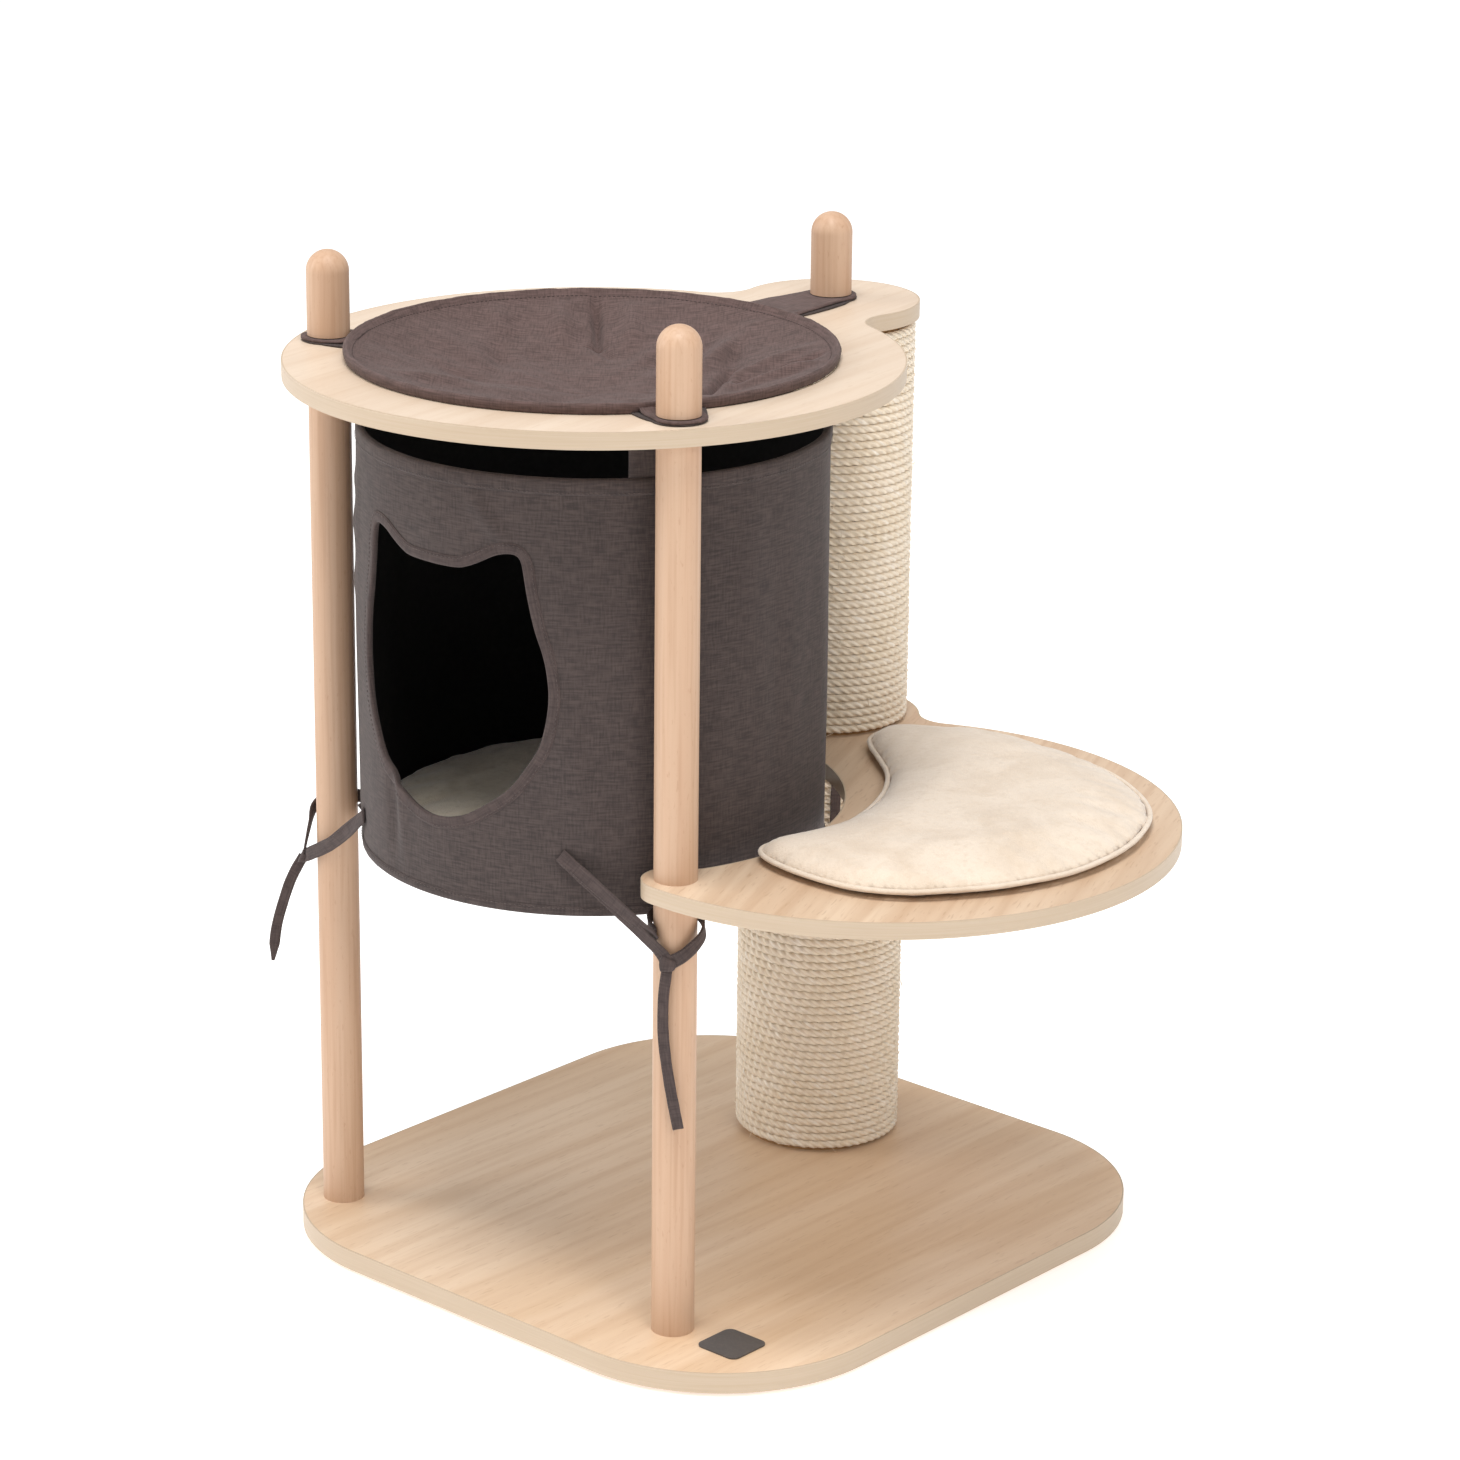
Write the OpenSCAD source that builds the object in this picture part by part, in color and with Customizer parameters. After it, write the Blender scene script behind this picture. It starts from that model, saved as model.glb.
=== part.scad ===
// Cat tree: a rounded base board, two beech posts and a sisal column carry a
// crescent shelf and a ring-shaped top plate. A fabric den hangs under the ring
// and a fabric hammock lies in it. Millimetres, +Z up, the floor is z = 0 and
// the origin is under the centre of the base board.

/* [Base] */
// Width of the base board, left to right
base_w = 500; // [480:5:540]
// Depth of the base board, front to back
base_d = 520; // [500:5:560]
// Thickness of the base board
base_t = 15; // [12:1:22]
// Corner radius of the base board
base_corner = 132; // [60:1:140]
// Thickness of the felt pads under the base
foot_h = 3; // [2:1:5]

/* [Tower] */
// How far the tower's middle plane stands left of the base centre
tower_shift = 30; // [20:1:40]
// Half the distance between the two posts
post_gap = 165; // [160:1:170]
// Distance of the posts in front of the base centre
post_front = 195; // [190:1:198]
// Diameter of the posts and finials
post_d = 30; // [28:1:32]
// Distance of the column behind the base centre
column_back = 150; // [148:1:152]
// Outer diameter of the rope-wound column
column_d = 125; // [120:1:128]
// Diameter of the sisal rope
rope_d = 6; // [5:1:8]

/* [Boards] */
// Thickness of the shelf and the top plate
board_t = 12; // [10:1:15]
// Thickness of the edge band on every board
band_t = 1; // [1:0.5:2]
// Height of the shelf's underside above the base board
shelf_rise = 320; // [310:1:330]
// Height of the top plate's underside above the shelf
plate_rise = 305; // [300:1:330]
// Outer radius of the shelf's free edge
shelf_r = 216; // [215:1:217]
// Outer radius of the ring-shaped top plate
ring_r = 215; // [212:1:222]
// Radius of the hole in the top plate
hole_r = 168; // [167:0.5:170]

/* [Finials] */
// Height of a finial above the cloth it clamps
finial_h = 60; // [45:1:80]

/* [Fabric] */
// Outer radius of the den
den_r = 165; // [163:0.5:165]
// Height of the den from its floor to its rim
den_h = 306; // [290:1:310]
// Open gap between the den's rim and the top plate
den_gap = 33; // [28:1:45]
// Direction the den's door faces, seen from above
door_angle = -88; // [-95:1:-85]
// Depth of the hammock below its rim
hammock_sag = 48; // [30:1:60]

/* [Cushions] */
// Thickness of the round cushion in the den
den_cushion_t = 30; // [20:1:40]
// Thickness of the crescent cushion on the shelf
shelf_cushion_t = 20; // [15:1:30]

/* [Hidden] */
$fn = 96;

// Places in plan
left_post_at = [-tower_shift - post_gap, -post_front];
front_post_at = [-tower_shift + post_gap, -post_front];
column_at = [-tower_shift, column_back];
den_at = [-tower_shift, -100];
shelf_at = [147, -3];
uprights = [left_post_at, front_post_at, column_at];

// Heights
base_top = foot_h + base_t;
shelf_z = base_top + shelf_rise;
shelf_top = shelf_z + board_t;
plate_z = shelf_top + plate_rise;
plate_top = plate_z + board_t;
den_top = plate_z - den_gap;
den_z = den_top - den_h;

// Cloth stack on the top plate: the den's hanger, then the hammock's loop, then a finial
hanger_t = 1.2;
hanger_z = plate_top + 0.2;
loop_t = 1.8;
loop_z = hanger_z + hanger_t + 0.2;
finial_z = loop_z + loop_t + 0.4;
loop_r = 19;

// Hardware
stud_r = 4;
stud_clear_r = 4.5;
thread_r = 4.06;
stud_grip = 20;
insert_r = 6;
insert_h = 18;
washer_r = 9.5;
washer_t = 1.5;
bolt_head_r = 6.5;
bolt_head_h = 4;
counterbore_r = 10;
counterbore_h = 6.5;
bolt_reach = 24;
plug_t = 15;
tube_wall = 4;
tee_barrel_r = 5;
tee_flange_r = 10;
tee_flange_t = 1.5;
tube_r = column_d / 2 - rope_d;
plug_r = tube_r - tube_wall;
foot_r = 14;
badge_w = 36;
badge_r = 6;
badge_t = 1;
hoop_r = 1.5;
foot_x = base_w / 2 - 75;
foot_y = base_d / 2 - 75;

// Fabric layers of the den
cloth_t = 2;
den_inner_r = den_r - cloth_t;
lining_t = 2;
lining_r = den_inner_r - lining_t;
floor_t = 5;
lining_z = den_z + 1.5 + floor_t;
hem_h = 10;
tab_w = 50;

// Door outline: a cat's head with a round chin and two ears
chin_r = 85;
chin_z = den_z + 147;
ear_x = 62;
ear_top = 105;
brow_x = 16;
brow_top = 92;
cheek_top = 30;

// Shelf outline
void_r = 178;
lobe_r = norm(column_at - den_at) - void_r;
tip_r = shelf_r - norm(front_post_at - shelf_at);
plate_lobe_r = 65;
plate_fillet = 30;
shelf_fillet = 25;
tip_fillet = 10;

// Crescent cushion outline
cushion_at = [172, 15];
cushion_r = 162;
cushion_bite_at = [-10, -70];
cushion_bite_r = 177;
cushion_tip_r = 9;

tie_w = 10;
tie_t = 1.5;

function unit(v) = v / norm(v);
function polar(r, a) = [r * cos(a), r * sin(a)];
// Where two circles cross; side is 1 or -1
function crossing(c1, r1, c2, r2, side) =
    let (d = norm(c2 - c1), u = unit(c2 - c1), a = (d * d + r1 * r1 - r2 * r2) / (2 * d),
         h = sqrt(r1 * r1 - a * a))
    c1 + a * u + side * h * [-u[1], u[0]];

// ---- Helpers ----

module at(p, z = 0) { translate([p[0], p[1], z]) children(); }

module rounded_rect(w, d, r) {
    square([w - 2 * r, d], center = true);
    square([w, d - 2 * r], center = true);
    for (x = [-1, 1], y = [-1, 1]) translate([x * (w / 2 - r), y * (d / 2 - r)]) circle(r);
}

// Web that rounds the inner corner between two discs that cross
module web(c1, r1, c2, r2, r, inset, side) {
    f = crossing(c1, r1 + r, c2, r2 + r, side);
    difference() {
        polygon([c1, f, c2]);
        translate(f) circle(r + inset);
    }
}

module ring(outer, inner, h) {
    difference() {
        cylinder(r = outer, h = h);
        translate([0, 0, -1]) cylinder(r = inner, h = h + 2);
    }
}

module hoop(radius, wire) {
    rotate_extrude() translate([radius, 0]) circle(wire, $fn = 32);
}

module base_outline(inset = 0) {
    rounded_rect(base_w - 2 * inset, base_d - 2 * inset, base_corner - inset);
}

module plate_outline(inset = 0) {
    fillets = [for (side = [-1, 1]) crossing(den_at, ring_r + plate_fillet,
                                             column_at, plate_lobe_r + plate_fillet, side)];
    difference() {
        union() {
            translate(den_at) circle(ring_r - inset);
            translate(column_at) circle(plate_lobe_r - inset);
            polygon([den_at, fillets[0], column_at, fillets[1]]);
        }
        for (f = fillets) translate(f) circle(plate_fillet + inset);
        translate(den_at) circle(hole_r + inset);
    }
}

module shelf_outline(inset = 0) {
    tip_web = crossing(den_at, void_r - tip_fillet, front_post_at, tip_r + tip_fillet, 1);
    outward = unit(front_post_at - shelf_at);
    inward = unit(den_at - front_post_at);
    difference() {
        translate(shelf_at) circle(shelf_r - inset);
        translate(den_at) circle(void_r + inset);
        polygon([front_post_at, front_post_at + 60 * outward, front_post_at + 90 * (outward + inward),
                 front_post_at + 60 * inward]);
        translate(column_at - [100, 110]) square([100, 110]);
    }
    translate(front_post_at) circle(tip_r - inset);
    translate(column_at) circle(lobe_r - inset);
    web(shelf_at, shelf_r, column_at, lobe_r, shelf_fillet, inset, -1);
    difference() {
        polygon([tip_web, front_post_at, den_at + (void_r + 4) * unit(tip_web - den_at)]);
        translate(tip_web) circle(tip_fillet + inset);
    }
}

module door_outline() {
    circle(chin_r);
    polygon([[-chin_r, 0], [-chin_r + 2, cheek_top], [-72, 66], [-67, 88], [-ear_x - 4, ear_top - 3],
             [-ear_x, ear_top], [-ear_x + 8, ear_top - 2], [-38, brow_top + 4], [-brow_x, brow_top],
             [brow_x, brow_top], [38, brow_top + 4], [ear_x - 8, ear_top - 2], [ear_x, ear_top],
             [ear_x + 4, ear_top - 3], [67, 88], [72, 66], [chin_r - 2, cheek_top], [chin_r, 0]]);
}

// Carries an outline from the den's middle out through its front wall
module door_prism() {
    at(den_at, chin_z) rotate([0, 0, door_angle + 90]) rotate([90, 0, 0])
        linear_extrude(height = den_r + 20) children();
}

module cushion_outline() {
    tips = [for (side = [-1, 1]) crossing(cushion_at, cushion_r - cushion_tip_r, cushion_bite_at,
                                          cushion_bite_r + cushion_tip_r, side)];
    difference() {
        translate(cushion_at) circle(cushion_r);
        translate(cushion_bite_at) circle(cushion_bite_r);
        for (tip = tips) polygon([tip, tip + 60 * unit(tip - cushion_at),
                                  tip + 60 * (unit(tip - cushion_at) + unit(cushion_bite_at - tip)),
                                  tip + 60 * unit(cushion_bite_at - tip)]);
    }
    for (tip = tips) translate(tip) circle(cushion_tip_r);
}

// ---- Base ----

module base_board() {
    color("burlywood") difference() {
        translate([0, 0, foot_h]) linear_extrude(height = base_t) base_outline(band_t);
        for (p = uprights) at(p, foot_h) {
            translate([0, 0, -1]) cylinder(r = stud_clear_r, h = base_t + 2);
            translate([0, 0, -1]) cylinder(r = counterbore_r, h = counterbore_h + 1);
        }
    }
}

module base_edge_band() {
    color("wheat") translate([0, 0, foot_h]) linear_extrude(height = base_t) difference() {
        base_outline();
        base_outline(band_t);
    }
}

module base_feet() {
    color("dimgray") {
        cylinder(r = foot_r, h = foot_h);
        for (x = [-1, 1], y = [-1, 1]) translate([x * foot_x, y * foot_y, 0]) cylinder(r = foot_r, h = foot_h);
    }
}

module base_badge() {
    color([0.2, 0.19, 0.19]) at(front_post_at + [48, 8], base_top)
        linear_extrude(height = badge_t) rounded_rect(badge_w, badge_w, badge_r);
}

module base_bolts() {
    head_z = foot_h + counterbore_h - washer_t - bolt_head_h;
    color("silver") for (p = uprights) at(p, head_z) {
        cylinder(r = bolt_head_r, h = bolt_head_h);
        cylinder(r = stud_r, h = base_top + bolt_reach - head_z);
    }
}

module base_washers() {
    color("gainsboro") for (p = uprights)
        at(p, foot_h + counterbore_h - washer_t) ring(washer_r, stud_clear_r, washer_t);
}

// ---- Posts and column ----

// Post between two heights, bored at each end for its threaded insert
module post(z0, z1) {
    difference() {
        translate([0, 0, z0]) cylinder(r = post_d / 2, h = z1 - z0);
        for (z = [z0 - 1, z1 - insert_h]) translate([0, 0, z]) cylinder(r = insert_r, h = insert_h + 1);
        for (z = [z0, z1 - 28]) translate([0, 0, z]) cylinder(r = stud_clear_r, h = 28);
    }
}

module left_post() { color("bisque") at(left_post_at) post(base_top, plate_z); }

module front_post_lower() { color("bisque") at(front_post_at) post(base_top, shelf_z); }

module front_post_upper() { color("bisque") at(front_post_at) post(shelf_top, plate_z); }

module insert() { ring(insert_r, thread_r, insert_h); }

module post_inserts() {
    color("darkgoldenrod") {
        for (z = [base_top, plate_z - insert_h]) at(left_post_at, z) insert();
        for (z = [base_top, shelf_z - insert_h, shelf_top, plate_z - insert_h])
            at(front_post_at, z) insert();
    }
}

module column_tube(z0, z1) { at(column_at, z0) ring(tube_r, plug_r, z1 - z0); }

module lower_column_tube() { color("tan") column_tube(base_top, shelf_z); }

module upper_column_tube() { color("tan") column_tube(shelf_top, plate_z); }

module column_end_plugs() {
    color("peru") for (z = [base_top, shelf_z - plug_t, shelf_top, plate_z - plug_t])
        at(column_at, z) ring(plug_r, tee_barrel_r, plug_t);
}

// Tee nut with its flange on the inner face of an end plug
module tee_nut() {
    ring(tee_barrel_r, thread_r, plug_t - 3);
    translate([0, 0, plug_t - 3]) ring(tee_flange_r, thread_r, tee_flange_t);
}

module column_tee_nuts() {
    color("silver") for (z = [base_top, shelf_top]) {
        at(column_at, z + 3) tee_nut();
    }
    color("silver") for (z = [shelf_z, plate_z]) {
        at(column_at, z - 3) mirror([0, 0, 1]) tee_nut();
    }
}

module column_rope(z0, z1) { at(column_at, z0) ring(column_d / 2, tube_r, z1 - z0); }

module lower_column_rope() { color("antiquewhite") column_rope(base_top, shelf_z); }

module upper_column_rope() { color("antiquewhite") column_rope(shelf_top, plate_z); }

module shelf_studs() {
    color("silver") for (p = [front_post_at, column_at])
        at(p, shelf_z - stud_grip) cylinder(r = stud_r, h = board_t + 2 * stud_grip);
}

module top_studs() {
    color("silver") for (p = uprights)
        at(p, plate_z - stud_grip) cylinder(r = stud_r, h = finial_z - plate_z + stud_grip + insert_h - 2);
}

// ---- Boards ----

module middle_shelf() {
    color("burlywood") difference() {
        translate([0, 0, shelf_z]) linear_extrude(height = board_t) shelf_outline(band_t);
        for (p = [front_post_at, column_at])
            at(p, shelf_z - 1) cylinder(r = stud_clear_r, h = board_t + 2);
    }
}

module shelf_edge_band() {
    color("wheat") translate([0, 0, shelf_z]) linear_extrude(height = board_t) difference() {
        shelf_outline();
        shelf_outline(band_t);
    }
}

module top_plate() {
    color("antiquewhite") difference() {
        translate([0, 0, plate_z]) linear_extrude(height = board_t) plate_outline(band_t);
        for (p = uprights) at(p, plate_z - 1) cylinder(r = stud_clear_r, h = board_t + 2);
    }
}

module top_plate_edge_band() {
    color("wheat") translate([0, 0, plate_z]) linear_extrude(height = board_t) difference() {
        plate_outline();
        plate_outline(band_t);
    }
}

// ---- Hammock ----

// The rolled rim just clears the finials
rim_r = 3.8;
hammock_r = norm(left_post_at - den_at) - post_d / 2 - rim_r - 0.6;

// Flat cloth strip from radius r0 of the ring out to the stud at p, ending in a round loop
module strap_outline(p, r0, w0) {
    u = unit(p - den_at);
    v = [-u[1], u[0]];
    start = den_at + r0 * u;
    difference() {
        union() {
            polygon([start - v * w0 / 2, p - v * loop_r, p + v * loop_r, start + v * w0 / 2]);
            translate(p) circle(loop_r);
        }
        translate(p) circle(stud_clear_r);
    }
}

module hammock() {
    rim_z = loop_z + loop_t + 2.2;
    bowl_r = den_r - 1;
    cloth = 1.8;
    sphere_r = (bowl_r * bowl_r + hammock_sag * hammock_sag) / (2 * hammock_sag);
    color([0.42, 0.36, 0.35]) {
        at(den_at, rim_z) rotate_extrude() difference() {
            union() {
                translate([hammock_r, 0]) circle(rim_r, $fn = 32);
                translate([bowl_r - 1, -cloth - 0.2]) square([hammock_r - bowl_r, cloth]);
                difference() {
                    translate([0, sphere_r - hammock_sag - 0.2]) difference() {
                        circle(sphere_r);
                        circle(sphere_r - cloth);
                    }
                    translate([-2 * sphere_r, -2 * sphere_r]) square([2 * sphere_r, 4 * sphere_r]);
                    translate([0, -0.2]) square(3 * sphere_r);
                    translate([bowl_r, -sphere_r]) square([sphere_r, 2 * sphere_r]);
                }
            }
            translate([hammock_r, 0]) circle(hoop_r + 0.1, $fn = 32);
        }
        for (i = [0 : 2]) translate([0, 0, loop_z]) linear_extrude(height = loop_t)
            strap_outline(uprights[i], hammock_r - 4, i == 2 ? 56 : 40);
    }
}

module hammock_hoop() {
    color("silver") at(den_at, loop_z + loop_t + 2.2) hoop(hammock_r, hoop_r);
}

// ---- Den ----

module den_shell() {
    color([0.36, 0.31, 0.3]) difference() {
        at(den_at, den_z) {
            ring(den_r, den_inner_r, den_h);
            cylinder(r = den_inner_r + 1, h = 1.5);
        }
        door_prism() door_outline();
    }
}

module den_lining() {
    color([0.12, 0.11, 0.11]) difference() {
        at(den_at, lining_z) {
            ring(den_inner_r, lining_r, den_top - hem_h - lining_z);
            cylinder(r = lining_r + 1, h = 1.5);
        }
        door_prism() door_outline();
    }
}

module den_door_binding() {
    color([0.3, 0.26, 0.25]) intersection() {
        at(den_at, den_z) ring(den_r + 1.2, den_r, den_h);
        door_prism() difference() {
            scale(1.06) door_outline();
            door_outline();
        }
    }
}

module den_floor() {
    color("tan") at(den_at, den_z + 1.5) cylinder(r = lining_r - 2, h = floor_t);
}

module den_top_hoop() {
    color("silver") at(den_at, den_top - 4) hoop(den_inner_r - hoop_r - 0.1, hoop_r);
}

module den_bottom_hoop() {
    color("silver") at(den_at, den_z + 4) hoop(den_inner_r - hoop_r - 0.1, hoop_r);
}

// Strap that rises from the den's rim through the ring and lies out to a stud
module den_hanger(p) {
    a = atan2(p[1] - den_at[1], p[0] - den_at[0]);
    color([0.34, 0.29, 0.28]) {
        intersection() {
            at(den_at, den_top) ring(den_r, den_inner_r, hanger_z + hanger_t - den_top);
            at(den_at, den_top) rotate([0, 0, a]) translate([100, -tab_w / 2, 0]) cube([100, tab_w, 100]);
        }
        translate([0, 0, hanger_z]) linear_extrude(height = hanger_t)
            strap_outline(p, den_inner_r * cos(asin(tab_w / 2 / den_inner_r)) + 0.5, tab_w);
    }
}

module den_hanger_left() { den_hanger(left_post_at); }

module den_hanger_front() { den_hanger(front_post_at); }

module den_hanger_rear() { den_hanger(column_at); }

// ---- Ties ----

// Straight run of tape between two points, standing on edge
module tape(a, b) {
    hull() {
        translate(a) cube([tie_t, tie_t, tie_w], center = true);
        translate(b) cube([tie_t, tie_t, tie_w], center = true);
    }
}

// Hanging end of a tape, with its flat side to the upright
module tail(a, b, turn) {
    hull() {
        translate(a) rotate([0, 0, turn]) cube([tie_w, tie_t, tie_t], center = true);
        translate(b) rotate([0, 0, turn]) cube([tie_w, tie_t, tie_t], center = true);
    }
}

module tie_band(p, r, z) { at(p, z) ring(r + 0.4 + tie_t, r + 0.4, tie_w); }

module tie_left() {
    start = den_at + polar(den_r + 4, -121);
    knot = left_post_at + polar(post_d / 2 + 10, -138);
    color([0.33, 0.28, 0.27]) {
        tie_band(left_post_at, post_d / 2, 298);
        tape([start[0], start[1], 344], [knot[0], knot[1], 288]);
        tail([knot[0], knot[1], 282], [knot[0] - 3, knot[1] - 14, 208], -48);
    }
}

module tie_front() {
    start = den_at + polar(den_r + 4, -55);
    knot = front_post_at + polar(post_d / 2 + 4.5, -64);
    color([0.33, 0.28, 0.27]) {
        tie_band(front_post_at, post_d / 2, 306);
        tape([start[0], start[1], 359], [knot[0], knot[1], 296]);
        tail([knot[0], knot[1], 290], [knot[0] + 9, knot[1] + 5, 176], 34);
    }
}

module tie_rear() {
    start = den_at + polar(den_r + 4, 68);
    knot = column_at + polar(column_d / 2 + 5, -28);
    color([0.33, 0.28, 0.27]) {
        tie_band(column_at, column_d / 2, 308);
        tape([start[0], start[1], 326], [knot[0], knot[1], 314]);
        tail([knot[0], knot[1], 304], [knot[0] + 2, knot[1] - 2, 220], 62);
    }
}

// ---- Finials: domed beech knobs that screw down on the top studs ----

module finial() {
    r = post_d / 2;
    difference() {
        translate([0, 0, finial_z]) {
            cylinder(r = r, h = finial_h - r);
            translate([0, 0, finial_h - r]) sphere(r = r);
        }
        translate([0, 0, finial_z - 1]) cylinder(r = insert_r, h = insert_h + 1);
    }
}

module left_finial() { color("bisque") at(left_post_at) finial(); }

module front_finial() { color("bisque") at(front_post_at) finial(); }

module rear_finial() { color("bisque") at(column_at) finial(); }

module left_finial_insert() { color("darkgoldenrod") at(left_post_at, finial_z) insert(); }

module front_finial_insert() { color("darkgoldenrod") at(front_post_at, finial_z) insert(); }

module rear_finial_insert() { color("darkgoldenrod") at(column_at, finial_z) insert(); }

// ---- Cushions ----

module shelf_cushion() {
    color("linen") translate([0, 0, shelf_top + 0.3])
        linear_extrude(height = shelf_cushion_t) cushion_outline();
}

module den_cushion() {
    color("linen") at(den_at, lining_z + 1.8) cylinder(r = lining_r - 5, h = den_cushion_t);
}

base_board();
base_edge_band();
base_feet();
base_badge();
base_bolts();
base_washers();
left_post();
front_post_lower();
front_post_upper();
post_inserts();
lower_column_tube();
upper_column_tube();
column_end_plugs();
column_tee_nuts();
lower_column_rope();
upper_column_rope();
shelf_studs();
top_studs();
middle_shelf();
shelf_edge_band();
top_plate();
top_plate_edge_band();
hammock();
hammock_hoop();
den_shell();
den_lining();
den_door_binding();
den_floor();
den_top_hoop();
den_bottom_hoop();
den_hanger_left();
den_hanger_front();
den_hanger_rear();
tie_left();
tie_front();
tie_rear();
left_finial();
front_finial();
rear_finial();
left_finial_insert();
front_finial_insert();
rear_finial_insert();
shelf_cushion();
den_cushion();
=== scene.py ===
import math
import random

import bmesh
import bpy
import numpy as np
from mathutils import Matrix, Vector, noise
from mathutils.geometry import delaunay_2d_cdt

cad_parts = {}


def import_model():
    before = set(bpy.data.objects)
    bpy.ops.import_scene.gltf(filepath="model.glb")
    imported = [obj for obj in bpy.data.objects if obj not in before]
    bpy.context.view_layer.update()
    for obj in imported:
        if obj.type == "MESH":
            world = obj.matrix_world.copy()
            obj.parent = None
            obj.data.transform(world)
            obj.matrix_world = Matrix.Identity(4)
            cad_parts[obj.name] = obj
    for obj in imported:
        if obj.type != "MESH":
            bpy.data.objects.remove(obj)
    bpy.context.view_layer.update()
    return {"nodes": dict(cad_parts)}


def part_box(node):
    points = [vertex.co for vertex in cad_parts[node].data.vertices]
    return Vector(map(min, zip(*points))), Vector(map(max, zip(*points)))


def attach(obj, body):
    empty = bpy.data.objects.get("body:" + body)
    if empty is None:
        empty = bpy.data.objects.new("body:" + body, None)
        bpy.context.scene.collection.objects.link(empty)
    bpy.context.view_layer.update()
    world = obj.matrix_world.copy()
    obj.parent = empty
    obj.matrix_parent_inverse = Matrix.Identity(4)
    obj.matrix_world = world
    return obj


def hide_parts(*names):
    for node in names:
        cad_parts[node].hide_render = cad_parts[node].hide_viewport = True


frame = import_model()
scene = bpy.context.scene
print("frame loaded")

mm = 0.001


# ---- camera, floor and lamps ----

shot = {"place": (2.0329, -2.2831, 1.3799), "yaw": -41.549, "pitch": 18.139, "roll": 0.6195, "lens": 110.171}


def setCamera():
    yaw, pitch, roll = (math.radians(shot[key]) for key in ("yaw", "pitch", "roll"))
    forward = Vector((math.sin(yaw) * math.cos(pitch), math.cos(yaw) * math.cos(pitch), -math.sin(pitch)))
    level = Vector((math.cos(yaw), -math.sin(yaw), 0))
    raised = level.cross(forward)
    right = math.cos(roll) * level + math.sin(roll) * raised
    up = -math.sin(roll) * level + math.cos(roll) * raised
    lens = bpy.data.cameras.new("camera")
    lens.lens = shot["lens"]
    lens.sensor_width = 36
    lens.clip_end = 100
    camera = bpy.data.objects.new("camera", lens)
    camera.matrix_world = Matrix((
        (right.x, up.x, -forward.x, shot["place"][0]),
        (right.y, up.y, -forward.y, shot["place"][1]),
        (right.z, up.z, -forward.z, shot["place"][2]),
        (0, 0, 0, 1)))
    scene.collection.objects.link(camera)
    scene.camera = camera


def softbox(name, place, aim, size, power, colour=(1, 1, 1)):
    light = bpy.data.lights.new(name, "AREA")
    light.shape = "DISK"
    light.size = size
    light.energy = power
    light.color = colour
    lamp = bpy.data.objects.new(name, light)
    lamp.location = place
    lamp.rotation_euler = (Vector(aim) - Vector(place)).to_track_quat("-Z", "Y").to_euler()
    scene.collection.objects.link(lamp)


setCamera()
softbox("keyLamp", (3.3, -1.3, 2.7), (0, 0, 0.35), 1.3, 30, (1, 0.975, 0.955))
softbox("fillLamp", (-2.3, -1.9, 1.7), (0, 0, 0.3), 2.0, 38, (1, 0.975, 0.96))
softbox("topLamp", (0.7, -1.0, 4.6), (0, 0, 0.3), 2.0, 132, (1, 0.985, 0.975))


# ---- small helpers ----

def toLinear(code):
    parts = [int(code[i:i + 2], 16) / 255 for i in (0, 2, 4)]
    return [c / 12.92 if c <= 0.04045 else ((c + 0.055) / 1.055) ** 2.4 for c in parts] + [1]


def addNode(tree, kind, links=None, **settings):
    made = tree.nodes.new(kind)
    for name, value in settings.items():
        setattr(made, name, value)
    for name, value in (links or {}).items():
        if isinstance(value, bpy.types.NodeSocket):
            tree.links.new(value, made.inputs[name])
        else:
            made.inputs[name].default_value = value
    return made


def startFinish(name, shader):
    finish = bpy.data.materials.new(name)
    finish.use_nodes = True
    surface = finish.node_tree.nodes["Principled BSDF"]
    for socket, value in shader.items():
        surface.inputs[socket].default_value = value
    return finish, finish.node_tree, surface


def world():
    sky = bpy.data.worlds.new("studio")
    sky.use_nodes = True
    sky.node_tree.nodes["Background"].inputs["Color"].default_value = toLinear("FFFFFF")
    sky.node_tree.nodes["Background"].inputs["Strength"].default_value = 0.62
    scene.world = sky
    scene.view_settings.view_transform = "Standard"


world()


# ---- finishes ----

# Noise cells in a metre for a feature one millimetre across
fineness = 500


def noiseField(tree, place, scale, detail=2.0, distortion=0.0, **settings):
    # Noise over a place; a tuple scale stretches it along the axes
    if isinstance(scale, tuple):
        place = addNode(tree, "ShaderNodeMapping", {"Vector": place, "Scale": scale}).outputs[0]
        scale = 1.0
    return addNode(tree, "ShaderNodeTexNoise", {
        "Vector": place, "Scale": scale, "Detail": detail, "Distortion": distortion}, **settings).outputs["Fac"]


def tinted(tree, colour, layers):
    # Lays shades over a colour: each follows its field from low to high, up to its share
    for source, low, high, code, share in layers:
        amount = addNode(tree, "ShaderNodeMapRange", {
            "Value": source, "From Min": low, "From Max": high, "To Max": share}).outputs[0]
        colour = addNode(tree, "ShaderNodeMix", {0: amount, 6: colour, 7: toLinear(code)},
                         data_type="RGBA").outputs[2]
    return colour


def closeFinish(tree, surface, colour, height, strength, depth, rough=None):
    # Joins colour, relief (depth in millimetres) and varying roughness to the shader
    tree.links.new(colour, surface.inputs["Base Color"])
    bump = addNode(tree, "ShaderNodeBump", {"Height": height, "Strength": strength, "Distance": depth * mm})
    tree.links.new(bump.outputs[0], surface.inputs["Normal"])
    if rough:
        source, low, high = rough
        rough = addNode(tree, "ShaderNodeMapRange", {"Value": source, "To Min": low, "To Max": high})
        tree.links.new(rough.outputs[0], surface.inputs["Roughness"])


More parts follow.
